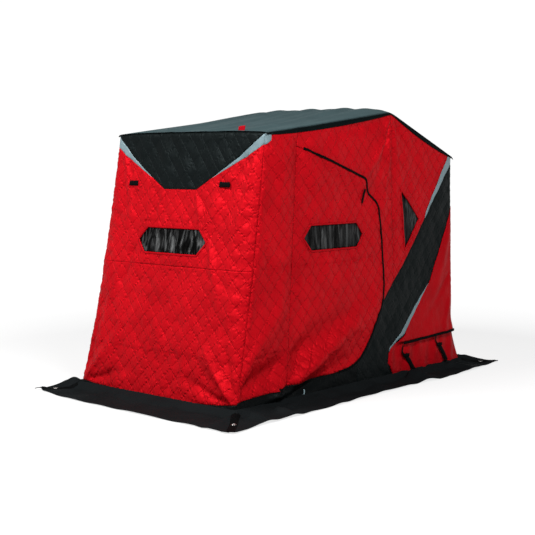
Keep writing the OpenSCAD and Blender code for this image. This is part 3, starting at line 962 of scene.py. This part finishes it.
def vinyl_finish(name, colour):
    """Dark vinyl with soft upright streaks of painted sheen in its colour, bumped along the same streaks."""
    material, tree, shader = new_finish(name, (0.0035, 0.004, 0.004), roughness=0.30, specular=0.04)
    stretch = node(tree, "ShaderNodeMapping", Scale=(1.0, 1.0, 0.14))
    tree.links.new(object_place(tree), stretch.inputs["Vector"])
    streaks = noise(tree, stretch.outputs["Vector"], Scale=24.0, Detail=3.0, Roughness=0.6, Distortion=0.9)
    # Painted sheen: the base colour is the given colour times these streaks, near black between them.
    sheen = arithmetic(tree, "POWER", ranged(tree, streaks, 0.42, 0.70, 0.03, 1.0), 2.0)
    shaded(tree, shader, colour, sheen)
    tree.links.new(bumped(tree, streaks, 0.010), shader.inputs["Normal"])
    return material


def pane_ripple(flat):
    """Upright ripples of slack vinyl, set back in its binding."""
    u, v = flat[:, 0], flat[:, 1]
    lean = u + 0.10 * v
    swell = 0.6 + 0.4 * np.sin(15.0 * lean + 2.0)
    wave = np.sin(88.0 * lean + 1.4 * np.sin(19.0 * lean)) * swell + 0.4 * np.sin(161.0 * u - 22.0 * v)
    return -0.003 + 0.0028 * wave


def bind_window(name, outline, place, sign, body="shelter"):
    """Sews smooth red cloth round a window's edge."""
    line = moved_aside(outline, 0.0065, True)
    binding = ribbon(
        f"{name}_binding", line, place, sign, red_plain, width=0.015, thick=0.0026, closed=True, lift=0.002
    )
    fitted(binding, body)


# Painted sheen: the side panes' streaks are painted dimmer than the front pane's, to suit the light each side gets.
side_vinyl = vinyl_finish("side_smoke_vinyl", (0.038, 0.039, 0.039))
pane_thick = 0.0012
for side, sign in sides:
    for panel, outline, body in (("door_window", door_window, f"{side}_door"), ("rear_window", rear_window, "shelter")):
        name = f"{side}_{panel}"
        pane = sew_panel(
            f"{name}_pane", side_cut, panel, place_side, sign, sign, [side_vinyl], thick=pane_thick, extra=pane_ripple
        )
        fitted(pane, body, name)
        bind_window(name, outline, place_side, sign, body)


# ---- Front wall ----
# Two quilted red panels sewn together across the middle, a black yoke between
# two pale tapes above them, a six-sided window and two webbing vent tabs.

front_belly = 0.043
roof_crown = 0.012
ridge_crown = 0.030
roof_half = 0.718
eave_round = 0.022


def crown(x, y):
    """How far the roof stands above its side edges."""
    across = unit(np.abs(x) / roof_half)
    return (roof_crown + ridge_crown * hump(y - ridge_y, 0.55)) * (1.0 - across**5)


front_level = 1.60
front_folds = [
    (0.74, 0.08, 0.30, 0.52, 0.035, 0.016),
    (0.74, 0.10, 0.50, 0.72, 0.030, -0.010),
    (0.72, 0.06, 0.12, 0.26, 0.034, -0.012),
    (-0.74, 0.08, -0.36, 0.50, 0.035, 0.012),
    (-0.74, 0.10, -0.60, 0.80, 0.030, -0.010),
    (-0.72, 0.06, -0.16, 0.24, 0.034, -0.010),
    (-0.16, 1.45, -0.20, 1.16, 0.022, 0.007),
    (0.16, 1.45, 0.30, 1.10, 0.024, 0.008),
    (0.60, 1.74, 0.34, 1.12, 0.026, -0.008),
    (0.66, 1.70, 0.56, 1.00, 0.022, 0.008),
    (-0.62, 1.72, -0.40, 1.14, 0.026, 0.008),
    (0.36, 1.10, 0.52, 0.62, 0.030, 0.010),
    (-0.38, 1.08, -0.52, 0.60, 0.030, -0.008),
]


def from_sides(x, z, line_y):
    """On the front or back: how far from the side, how slack, how far set back, and x along the soft corner."""
    edge = half_width(z) + side_set(line_y(z), z)
    distance = edge - np.abs(x)
    loose = unit(distance / 0.08) * unit((z - hem_z) / 0.05)
    back_set, run = rounded_corner(distance)
    return distance, loose, back_set, np.sign(x) * (edge - run)


def place_front(flat, sign=1):
    """Point of the front's cloth for flat (x, z)."""
    x, z = flat[:, 0], flat[:, 1]
    distance, loose, back_set, placed_x = from_sides(x, z, front_line)
    top_angle = (math.pi / 2) * (1.0 - unit((eave_z - z) / eave_round))
    share = unit(distance / 0.17)
    belly = front_belly * bowed(z, eave_z, 0.83) * share * (2.0 - share)
    belly += 0.0022 * np.sin(66.0 * z + 5.0 * x) * 4.0 * share * (1.0 - share) * bowed(z, eave_z, 1.0)
    y = front_line(z) - belly + back_set - loose * (1.6 * folds(x, z, front_folds) + ripple(x, z))
    y += eave_round * (1.0 - np.cos(top_angle))
    up = crown(x, eave_y) * unit((z - front_level) / (eave_z - front_level))
    z = np.where(top_angle > 0, eave_z - eave_round * (1.0 - np.sin(top_angle)), z) + up
    return np.stack([placed_x, y, z], axis=1)


front_quilts = {
    "upper": (0.020, 0.030), "lower": (0.020, 0.030), "yoke": (0.010, 0.040),
    **dict.fromkeys(("right_stripe", "left_stripe", "window", "right_hem", "left_hem"), (0.0, 0.0)),
}
yoke_half = 0.158
yoke_bottom = 1.457
front_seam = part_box("front_lower_wall")[1].z - 0.015
front_window = window_outline(-0.010, window_level - 0.022, 0.660)
yoke_rise = [(0.308, 1.548), (0.52, 1.680), (0.80, 1.900)]
stripe_foot = [(0.80, 1.810), (0.60, 1.690), (0.50, 1.640), (0.286, 1.534)]
yoke_outline = np.array([
    (-yoke_half, yoke_bottom), (yoke_half, yoke_bottom), *yoke_rise, (0.80, 1.96), (-0.80, 1.96),
    *[(-x, z) for x, z in yoke_rise[::-1]],
])


def front_stripe(s):
    """The pale tape under the yoke's edge on one side, s being +1 or -1."""
    return np.array([(s * x, z) for x, z in [*yoke_rise, *stripe_foot]])


def front_hem(s, rise):
    """The black hem that rises towards one corner of the front."""
    return np.array([
        (s * 0.36, 0.0), (s * 0.36, hem_z + 0.002), (s * 0.60, hem_z + 0.5 * rise), (s * 0.80, hem_z + rise),
        (s * 0.80, 0.0),
    ])


def wall_outline(line_y, top):
    """Outline of the front or back as flat (x, z)."""
    levels = np.linspace(hem_z, top, 60)
    edge = half_width(levels) + side_set(line_y(levels), levels)
    return np.array([*zip(edge, levels), *zip(-edge[::-1], levels[::-1])])


front_outline = wall_outline(front_line, eave_z)
right_hem, left_hem = front_hem(1, 0.046), front_hem(-1, 0.034)


def front_panel_of(points):
    """The panel of the front that each flat point belongs to."""
    name = np.where(points[:, 1] > front_seam, "upper", "lower").astype(object)
    name[inside(points, yoke_outline)] = "yoke"
    name[inside(points, front_stripe(1))] = "right_stripe"
    name[inside(points, front_stripe(-1))] = "left_stripe"
    name[inside(points, right_hem)] = "right_hem"
    name[inside(points, left_hem)] = "left_hem"
    name[inside(points, front_window)] = "window"
    name[~inside(points, front_outline)] = "outside"
    return name


front_cut = cut_wall(
    [
        (front_outline, True), (yoke_outline, True), (front_stripe(1), True), (front_stripe(-1), True),
        (front_window, True), ([(-0.9, front_seam), (0.9, front_seam)], False),
        (above_hem(right_hem), True), (above_hem(left_hem), True),
    ],
    front_panel_of,
    front_quilts,
)


def seam_ease(flat):
    """The seam across the front is pulled tight only in its middle."""
    outside = unit((np.abs(flat[:, 0]) - 0.30) / 0.24)
    return 0.09 * outside * hump(flat[:, 1] - front_seam, 0.07)


wavy_seam = [(x, 0.345 + 0.006 * math.sin(9.0 * x)) for x in np.linspace(-0.76, 0.76, 30)]
under_window = [(-0.30, 1.235), (0.34, 1.235)]
for panel, node_name, materials, puff, pucker, slot, creases in (
    ("upper", "front_upper_wall", [red_quilt, lining], 0.0031, 0.0026, "quilted_fabric", [under_window]),
    ("lower", "front_lower_wall", [red_quilt, lining], 0.0031, 0.0026, "quilted_fabric", [wavy_seam]),
    ("right_hem", "front_lower_wall", [black_plain, lining], 0.0, 0.0012, "black_fabric", []),
    ("left_hem", "front_lower_wall", [black_plain, lining], 0.0, 0.0012, "black_fabric", []),
    ("yoke", "front_yoke", [black_quilt, lining], 0.0030, 0.0012, "black_fabric", []),
    ("right_stripe", "front_stripes", [pale_tape, lining], 0.0, 0.0006, "reflective_tape", []),
    ("left_stripe", "front_stripes", [pale_tape, lining], 0.0, 0.0006, "reflective_tape", []),
):
    piece = sew_panel(
        f"front_{panel}_cloth", front_cut, panel, place_front, 1, 1, materials, front_quilts[panel], puff, pucker,
        creases=creases, ease=seam_ease,
    )
    fitted(piece, replaces=node_name)
# Painted sheen: the front pane's streaks are painted brighter than the side panes'.
front_vinyl = vinyl_finish("front_smoke_vinyl", (0.082, 0.084, 0.084))
pane = sew_panel(
    "front_window_pane", front_cut, "window", place_front, 1, 1, [front_vinyl], thick=pane_thick, extra=pane_ripple
)
fitted(pane, replaces="front_window")
bind_window("front_window", front_window, place_front, 1)
tab_level = 1.494
tab_half = 0.045
for name, x in (("right_vent_tab", 0.424), ("left_vent_tab", -0.470)):
    line = [(x - tab_half, tab_level), (x + tab_half, tab_level)]
    tab = ribbon(name, line, place_front, 1, black_webbing, width=0.036, thick=0.003, lift=0.0075)
    fitted(tab, replaces="vent_tabs" if x > 0 else None)


# ---- Back wall ----
# A quilted red wall over the sled and, below its seam, a plain red cover that is
# let down over the sled's end.

back_level = 1.45
back_folds = [
    (0.66, 1.60, 0.20, 1.00, 0.040, 0.010),
    (-0.66, 1.60, -0.20, 1.00, 0.040, 0.010),
    (0.74, 0.30, 0.20, 0.80, 0.040, -0.010),
    (-0.74, 0.30, -0.20, 0.80, 0.040, -0.010),
    (0.70, 0.08, 0.10, 0.30, 0.030, 0.008),
    (-0.70, 0.08, -0.10, 0.30, 0.030, 0.008),
]


def place_back(flat, sign=1):
    """Point of the back's cloth for flat (x, z)."""
    x, z = flat[:, 0], flat[:, 1]
    _, loose, back_set, placed_x = from_sides(x, z, back_line)
    y = back_line(z) - back_set + loose * (folds(x, z, back_folds) + ripple(x, z))
    up = crown(x, back_y) * unit((z - back_level) / (back_z - back_level))
    return np.stack([placed_x, y, z + up], axis=1)


back_outline = wall_outline(back_line, back_z)
back_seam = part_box("rear_sled_cover")[1].z
back_quilts = {"wall": (0.015, 0.035), "cover": (0.0, 0.0)}


def back_panel_of(points):
    """The panel of the back that each flat point belongs to."""
    name = np.where(points[:, 1] > back_seam, "wall", "cover").astype(object)
    name[~inside(points, back_outline)] = "outside"
    return name


back_cut = cut_wall(
    [(back_outline, True), ([(-0.9, back_seam), (0.9, back_seam)], False)], back_panel_of, back_quilts
)
for panel, node_name, materials, puff, slot in (
    ("wall", "rear_wall", [red_quilt, lining], 0.0045, "quilted_fabric"),
    ("cover", "rear_sled_cover", [red_plain, lining], 0.0, "cover_fabric"),
):
    piece = sew_panel(
        f"{node_name}_cloth", back_cut, panel, place_back, 1, -1, materials, back_quilts[panel], puff,
        pucker=0.0024,
    )
    fitted(piece, replaces=node_name)


# ---- Roof ----
# Black coated cloth in two slopes that meet over the ridge bar, turned down over
# the sides and sewn to them, with a small red tab at its front edge.

roof_gloss = 0.26
# Painted sheen: the cloth's grey-green colour stands for the bright sky reflected on black cloth at a grazing angle.
roof_cloth = cloth_finish(
    "black_roof_cloth", (0.024, 0.040, 0.043), roughness=0.58, specular=roof_gloss, crinkle=0.0030,
    gloss_tint=(0.60, 0.95, 1.0),
)
roof_tree = roof_cloth.node_tree
roof_shader = roof_tree.nodes["Principled BSDF"]
# Painted sheen and shade: the colour and the gloss are scaled by how far the cloth faces up, full on the top and near
# black where it turns down over the sides.
roof_facing = node(roof_tree, "ShaderNodeSeparateXYZ")
roof_tree.links.new(node(roof_tree, "ShaderNodeNewGeometry").outputs["Normal"], roof_facing.inputs["Vector"])
top_facing_sheen = ranged(roof_tree, roof_facing.outputs["Z"], 0.55, 0.92, 0.07, 1.0)
roof_sheen_scale = node(roof_tree, "ShaderNodeVectorMath", operation="SCALE")
roof_tree.links.new(roof_shader.inputs["Base Color"].links[0].from_socket, roof_sheen_scale.inputs[0])
roof_tree.links.new(top_facing_sheen, roof_sheen_scale.inputs["Scale"])
roof_tree.links.new(roof_sheen_scale.outputs["Vector"], roof_shader.inputs["Base Color"])
roof_tree.links.new(arithmetic(roof_tree, "MULTIPLY", top_facing_sheen, roof_gloss), roof_shader.inputs["Specular IOR Level"])
roof_round = 0.014


def over_edge(s, radius):
    """Cloth s past an edge, measured along the cloth: how far out of the edge, and how far down."""
    f = unit((s + radius) / (2 * radius))
    out = np.where(s < -radius, s, -radius * (1 - f) ** 2)
    down = np.where(s > radius, s, radius * f**2)
    return out, np.where(s < -radius, 0.0, down)


def place_roof(flat, sign=1):
    """Point of the roof's cloth for flat (x, y), both measured along the cloth."""
    across, along = flat[:, 0], flat[:, 1]
    front_out, front_down = over_edge(eave_y - along, roof_round)
    back_out, back_down = over_edge(along - back_y, roof_round)
    y = np.where(along < ridge_y, eave_y - front_out, back_y + back_out)
    end_down = np.where(along < ridge_y, front_down, back_down)
    level = roof_line(np.clip(y, eave_y, back_y))
    edge_flat = np.stack([np.clip(y, eave_y + 0.05, back_y - 0.05), level], axis=1)
    edge = place_side(edge_flat, 1)[:, 0]
    out, down = over_edge(np.abs(across) - edge, roof_round)
    hanging = place_side(np.stack([edge_flat[:, 0], level - np.maximum(down, 0.0)], axis=1), 1)[:, 0]
    x = np.where(np.abs(across) - edge > roof_round, hanging, edge + out) + 0.004 * unit(down / 0.01)
    pulled = 0.0040 * np.sin(21.0 * across + 2.0 * np.sin(3.0 * along)) + 0.0028 * np.sin(37.0 * across + 5.0 * along)
    inner = unit((edge - np.abs(across)) / 0.10) * unit((along - eave_y) / 0.08)
    z = level + crown(x, y) - down - end_down + pulled * inner + 0.003
    return np.stack([np.sign(across) * x, y - 0.004 * (along < eave_y) + 0.004 * (along > back_y), z], axis=1)


def roof_outline(start, end):
    """Outline of one slope of the roof as flat (x, y)."""
    stations = np.linspace(start, end, 70)
    halves = [half_width(z) for z in (eave_z, ridge_z, back_z)]
    reach = np.interp(stations, [eave_y, ridge_y, back_y], halves)
    reach = reach + roof_wrap(np.clip(stations, eave_y, back_y))
    return np.array([*zip(reach, stations), *zip(-reach[::-1], stations[::-1])])


roof_thick = 0.003
for name, outline, node_name in (
    ("roof_cloth", roof_outline(eave_y + 0.004, ridge_y), "roof_panel"),
    ("rear_roof_cloth", roof_outline(ridge_y, back_y + 0.014), "rear_roof_panel"),
):
    roof_cut = cut_wall(
        [(outline, True)],
        lambda points, edge=outline: np.where(inside(points, edge), "roof", "outside").astype(object),
        {"roof": (0.0, 0.0)},
    )
    piece = sew_panel(name, roof_cut, "roof", place_roof, 1, 1, [roof_cloth, lining], thick=roof_thick)
    fitted(piece, replaces=node_name)


def place_tab(flat, sign=1):
    """The tab stands up from the roof's front edge."""
    root = place_roof(np.array([[0.478, eave_y + 0.030]]))[0]
    return root + np.stack([flat[:, 0], 0.25 * flat[:, 1], flat[:, 1]], axis=1)


red_webbing = webbing_finish("red_webbing", (0.20, 0.0015, 0.005))
tab_line = [(0.0, -0.006), (0.002, 0.012), (0.0, 0.028)]
roof_tab = ribbon("roof_tab", tab_line, place_tab, 1, red_webbing, width=0.060, thick=0.004)
fitted(roof_tab)


# ---- Skirt ----
# Black cloth in four lengths, sewn along the foot of the walls and spread over
# the ice, where it lies in low folds and keeps the wind out.

skirt_cloth = cloth_finish(
    "black_skirt_cloth", (0.0038, 0.0048, 0.0052), roughness=0.75, specular=0.03, crinkle=0.0090
)
skirt_folds = [
    (0.80, -1.30, 0.86, -1.68, 0.045, 0.030),
    (0.84, -1.26, 1.06, -1.24, 0.045, 0.040),
    (0.84, -1.02, 1.06, -0.98, 0.040, 0.030),
    (0.80, 0.58, 1.04, 0.66, 0.095, 0.062),
    (0.80, -0.50, 1.04, -0.56, 0.060, 0.016),
    (0.80, 0.10, 1.04, 0.16, 0.070, 0.016),
    (0.80, 1.12, 1.05, 1.30, 0.060, 0.034),
    (0.72, 1.40, 0.80, 1.68, 0.080, 0.050),
    (0.10, 1.40, 0.00, 1.66, 0.090, 0.028),
    (-0.50, 1.40, -0.56, 1.66, 0.080, 0.024),
    (0.30, -1.36, 0.26, -1.66, 0.060, 0.012),
    (-0.40, -1.36, -0.46, -1.66, 0.070, 0.014),
    (-0.86, -1.50, -0.98, -1.575, 0.022, 0.026),
    (-0.80, -1.30, -1.02, -1.22, 0.070, 0.050),
    (-0.80, -0.60, -1.04, -0.66, 0.070, 0.030),
    (-0.80, 0.20, -1.04, 0.24, 0.080, 0.026),
    (-0.80, 0.90, -1.04, 0.98, 0.070, 0.034),
]


def place_ground(flat, sign=1):
    """Point of the skirt for (x, y): it slopes off the wall's foot and lies on the ice in low folds."""
    x, y = flat[:, 0], flat[:, 1]
    off = np.maximum(np.maximum(np.abs(x) - hem_half, y - back_hem_y - 0.05), front_hem_y - y)
    slope = unit(1.0 - off / (0.085 + 0.03 * np.sin(4.0 * x + 3.0 * y)))
    wander = 0.5 + 0.5 * np.sin(11.0 * x + 3.0 * np.sin(7.0 * y)) * np.sin(9.0 * y + 2.0 * np.sin(5.0 * x))
    away = unit(off / 0.06)
    flat_tip = unit(np.hypot(np.abs(x) - 0.88, np.abs(y) - 1.46) / 0.10)
    low_folds = 0.010 * away * wander + away * flat_tip * np.maximum(folds(x, y, skirt_folds), 0.0)
    creases = 0.004 * away * np.abs(np.sin(24.0 * off + 2.5 * np.sin(6.0 * (x + y)))) * unit((0.17 - off) / 0.08)
    return np.stack([x, y, 0.0045 + (hem_z + 0.010) * slope**1.3 + low_folds + creases], axis=1)


skirt_edges = {
    "right": [
        (1.030, -1.645), (1.056, -1.610), (1.050, -1.540), (1.032, -1.436), (1.020, -1.300), (1.024, -1.180),
        (1.020, -1.060), (1.026, -0.940), (1.016, -0.525), (1.000, -0.131), (1.000, 0.218), (1.004, 0.480),
        (1.016, 0.640), (1.030, 0.800), (1.014, 1.086), (1.010, 1.250), (0.985, 1.407), (0.962, 1.600),
        (0.955, 1.690),
    ],
    "front": [
        (-0.966, -1.566), (-0.928, -1.548), (-0.860, -1.562), (-0.769, -1.576), (-0.600, -1.606), (-0.461, -1.619),
        (0.023, -1.628), (0.597, -1.634), (0.727, -1.632), (0.800, -1.646), (0.850, -1.640), (0.920, -1.640),
        (0.980, -1.652), (1.030, -1.645),
    ],
    "left": [
        (-0.966, -1.566), (-0.946, -1.520), (-0.962, -1.446), (-0.955, -1.330), (-0.960, -1.180), (-0.985, -0.900),
        (-1.000, -0.400), (-0.990, 0.100), (-1.004, 0.600), (-0.990, 1.100), (-0.975, 1.450), (-0.960, 1.640),
    ],
    "rear": [
        (-0.960, 1.640), (-0.700, 1.618), (-0.200, 1.630), (0.300, 1.618), (0.600, 1.640), (0.840, 1.650),
        (0.955, 1.690),
    ],
}
foot_x, foot_front, foot_back = hem_half - 0.024, front_hem_y + 0.024, back_hem_y + 0.030
foot = {
    "right": [(foot_x, foot_front), (foot_x, foot_back)], "front": [(-foot_x, foot_front), (foot_x, foot_front)],
    "left": [(-foot_x, foot_front), (-foot_x, foot_back)], "rear": [(-foot_x, foot_back), (foot_x, foot_back)],
}
skirt_turn = {"right": -1, "front": 1, "left": 1, "rear": -1}
skirt_thick = 0.0025
count, rows = 260, 34
for side, outer in skirt_edges.items():
    inner = np.array(foot[side])
    axis = 0 if side in ("front", "rear") else 1
    outer = np.array(outer)
    share = np.linspace(0.0, 1.0, count)
    runs = np.concatenate([[0.0], np.cumsum(np.hypot(*np.diff(outer, axis=0).T))])
    hem_line = np.stack([np.interp(share * runs[-1], runs, outer[:, k]) for k in (0, 1)], axis=1)
    along = (hem_line[:, axis] - outer[0, axis]) / (outer[-1, axis] - outer[0, axis])
    wall_line = inner[0] + (inner[1] - inner[0]) * along[:, None]
    depth = np.linspace(0.0, 1.0, rows) ** 1.25
    flat = (wall_line[:, None] + (hem_line - wall_line)[:, None] * depth[None, :, None]).reshape(-1, 2)
    points = place_ground(flat)
    faces = []
    for i in range(count - 1):
        for j in range(rows - 1):
            a, b = i * rows + j, (i + 1) * rows + j
            quad = (a, b, b + 1, a + 1)
            faces.append(quad[::-1] if skirt_turn[side] > 0 else quad)
    piece = link_mesh(f"{side}_skirt_cloth", points, faces, [skirt_cloth])
    thickened(piece, skirt_thick)
    size = np.ptp(flat, axis=0)
    width, length, most = float(size.min()), float(size.max()), float(size.prod())
    fitted(piece, replaces=f"{side}_skirt")


# ---- Corner straps and eyelets ----
# A length of black webbing sewn over each corner of the skirt, with a pressed
# metal eyelet that takes an ice anchor.

eyelet_metal, _, _ = new_finish("dull_eyelet_metal", (0.33, 0.32, 0.31), roughness=0.38, metallic=1.0)
for name, wall_corner, tip, eyelet in (
    ("front_right", (hem_half + 0.010, front_hem_y - 0.012), (1.036, -1.640), (0.915, -1.478)),
    ("front_left", (-hem_half - 0.010, front_hem_y - 0.012), (-0.920, -1.538), (-0.868, -1.455)),
    ("rear_right", (hem_half + 0.010, back_hem_y + 0.066), (0.948, 1.672), (0.880, 1.535)),
    ("rear_left", (-hem_half - 0.010, back_hem_y + 0.066), (-0.952, 1.625), (-0.880, 1.510)),
):
    first = name == "front_right"
    line = [wall_corner, eyelet, tip]
    strap = ribbon(
        f"{name}_corner_strap", line, place_ground, 1, black_webbing, width=0.056, thick=0.0018, lift=0.0015, rise=0.1
    )
    fitted(strap, replaces="corner_straps" if first else None)
    spot = place_ground(np.array([eyelet]))[0]
    bpy.ops.object.select_all(action="DESELECT")
    bpy.ops.mesh.primitive_torus_add(
        location=(spot[0], spot[1], spot[2] + 0.0045), major_radius=0.0135, minor_radius=0.0040, major_segments=40,
        minor_segments=12,
    )
    ring = bpy.context.object
    ring.name = f"{name}_eyelet"
    ring.scale.z = 0.7
    bpy.ops.object.transform_apply(location=True, rotation=True, scale=True)
    ring.data.materials.append(eyelet_metal)
    bpy.ops.object.shade_smooth()
    fitted(ring, replaces="anchor_eyelets" if first else None)


# ---- Studio ----
# A pale floor that runs up into a pale background, two soft lights, and a long
# lens at eye height off the right front corner.

bpy.ops.object.select_all(action="DESELECT")
bpy.ops.mesh.primitive_plane_add(size=120.0, location=(0.0, 0.0, 0.0))
floor = bpy.context.object
floor.name = "floor"
floor_finish, floor_tree, floor_shader = new_finish(
    "pale_floor", (0.15, 0.15, 0.15), roughness=0.9, specular=0.0
)
floor_shader.inputs["Emission Color"].default_value = (1.0, 1.0, 1.0, 1.0)
floor_run = node(floor_tree, "ShaderNodeVectorMath", operation="LENGTH")
floor_tree.links.new(object_place(floor_tree), floor_run.inputs[0])
floor_glow = ranged(floor_tree, floor_run.outputs["Value"], 3.0, 7.0, 0.76, 1.02)
floor_tree.links.new(floor_glow, floor_shader.inputs["Emission Strength"])
floor.data.materials.append(floor_finish)
world = bpy.data.worlds.new("studio")
world.use_nodes = True
sky = world.node_tree
heights = node(sky, "ShaderNodeSeparateXYZ")
sky.links.new(node(sky, "ShaderNodeTexCoord").outputs["Generated"], heights.inputs["Vector"])
fading = ranged(sky, heights.outputs["Z"], 0.155, 0.30, 1.02, 0.10, smooth=True)
sky.nodes["Background"].inputs["Color"].default_value = (1.0, 1.0, 1.0, 1.0)
sky.links.new(fading, sky.nodes["Background"].inputs["Strength"])
bpy.context.scene.world = world
bpy.context.scene.view_settings.view_transform = "Standard"
for name, place, aim, size, power in (
    ("key_light", (-1.5, -5.5, 6.5), (0.0, -1.2, 1.0), 2.6, 960.0),
    ("side_light", (5.4, -2.7, 6.3), (0.7, 0.0, 1.0), 2.2, 830.0),
):
    light_data = bpy.data.lights.new(name, "AREA")
    light_data.shape = "SQUARE"
    light_data.size = size
    light_data.energy = power
    light = bpy.data.objects.new(name, light_data)
    light.location = place
    light.rotation_euler = (Vector(aim) - Vector(place)).to_track_quat("-Z", "Y").to_euler()
    bpy.context.scene.collection.objects.link(light)
camera_turn = math.radians(41.153)
camera_tilt = math.radians(4.378)
camera_place = Vector((5.765, -6.707, 1.654))
camera_data = bpy.data.cameras.new("camera")
camera_data.lens = 78.08
camera_data.sensor_width = 36.0
camera_data.shift_y = -0.0332
camera_data.clip_end = 200.0
camera = bpy.data.objects.new("camera", camera_data)
camera.location = camera_place
camera.rotation_euler = (math.pi / 2 - camera_tilt, 0.0, camera_turn)
bpy.context.scene.collection.objects.link(camera)
bpy.context.scene.camera = camera
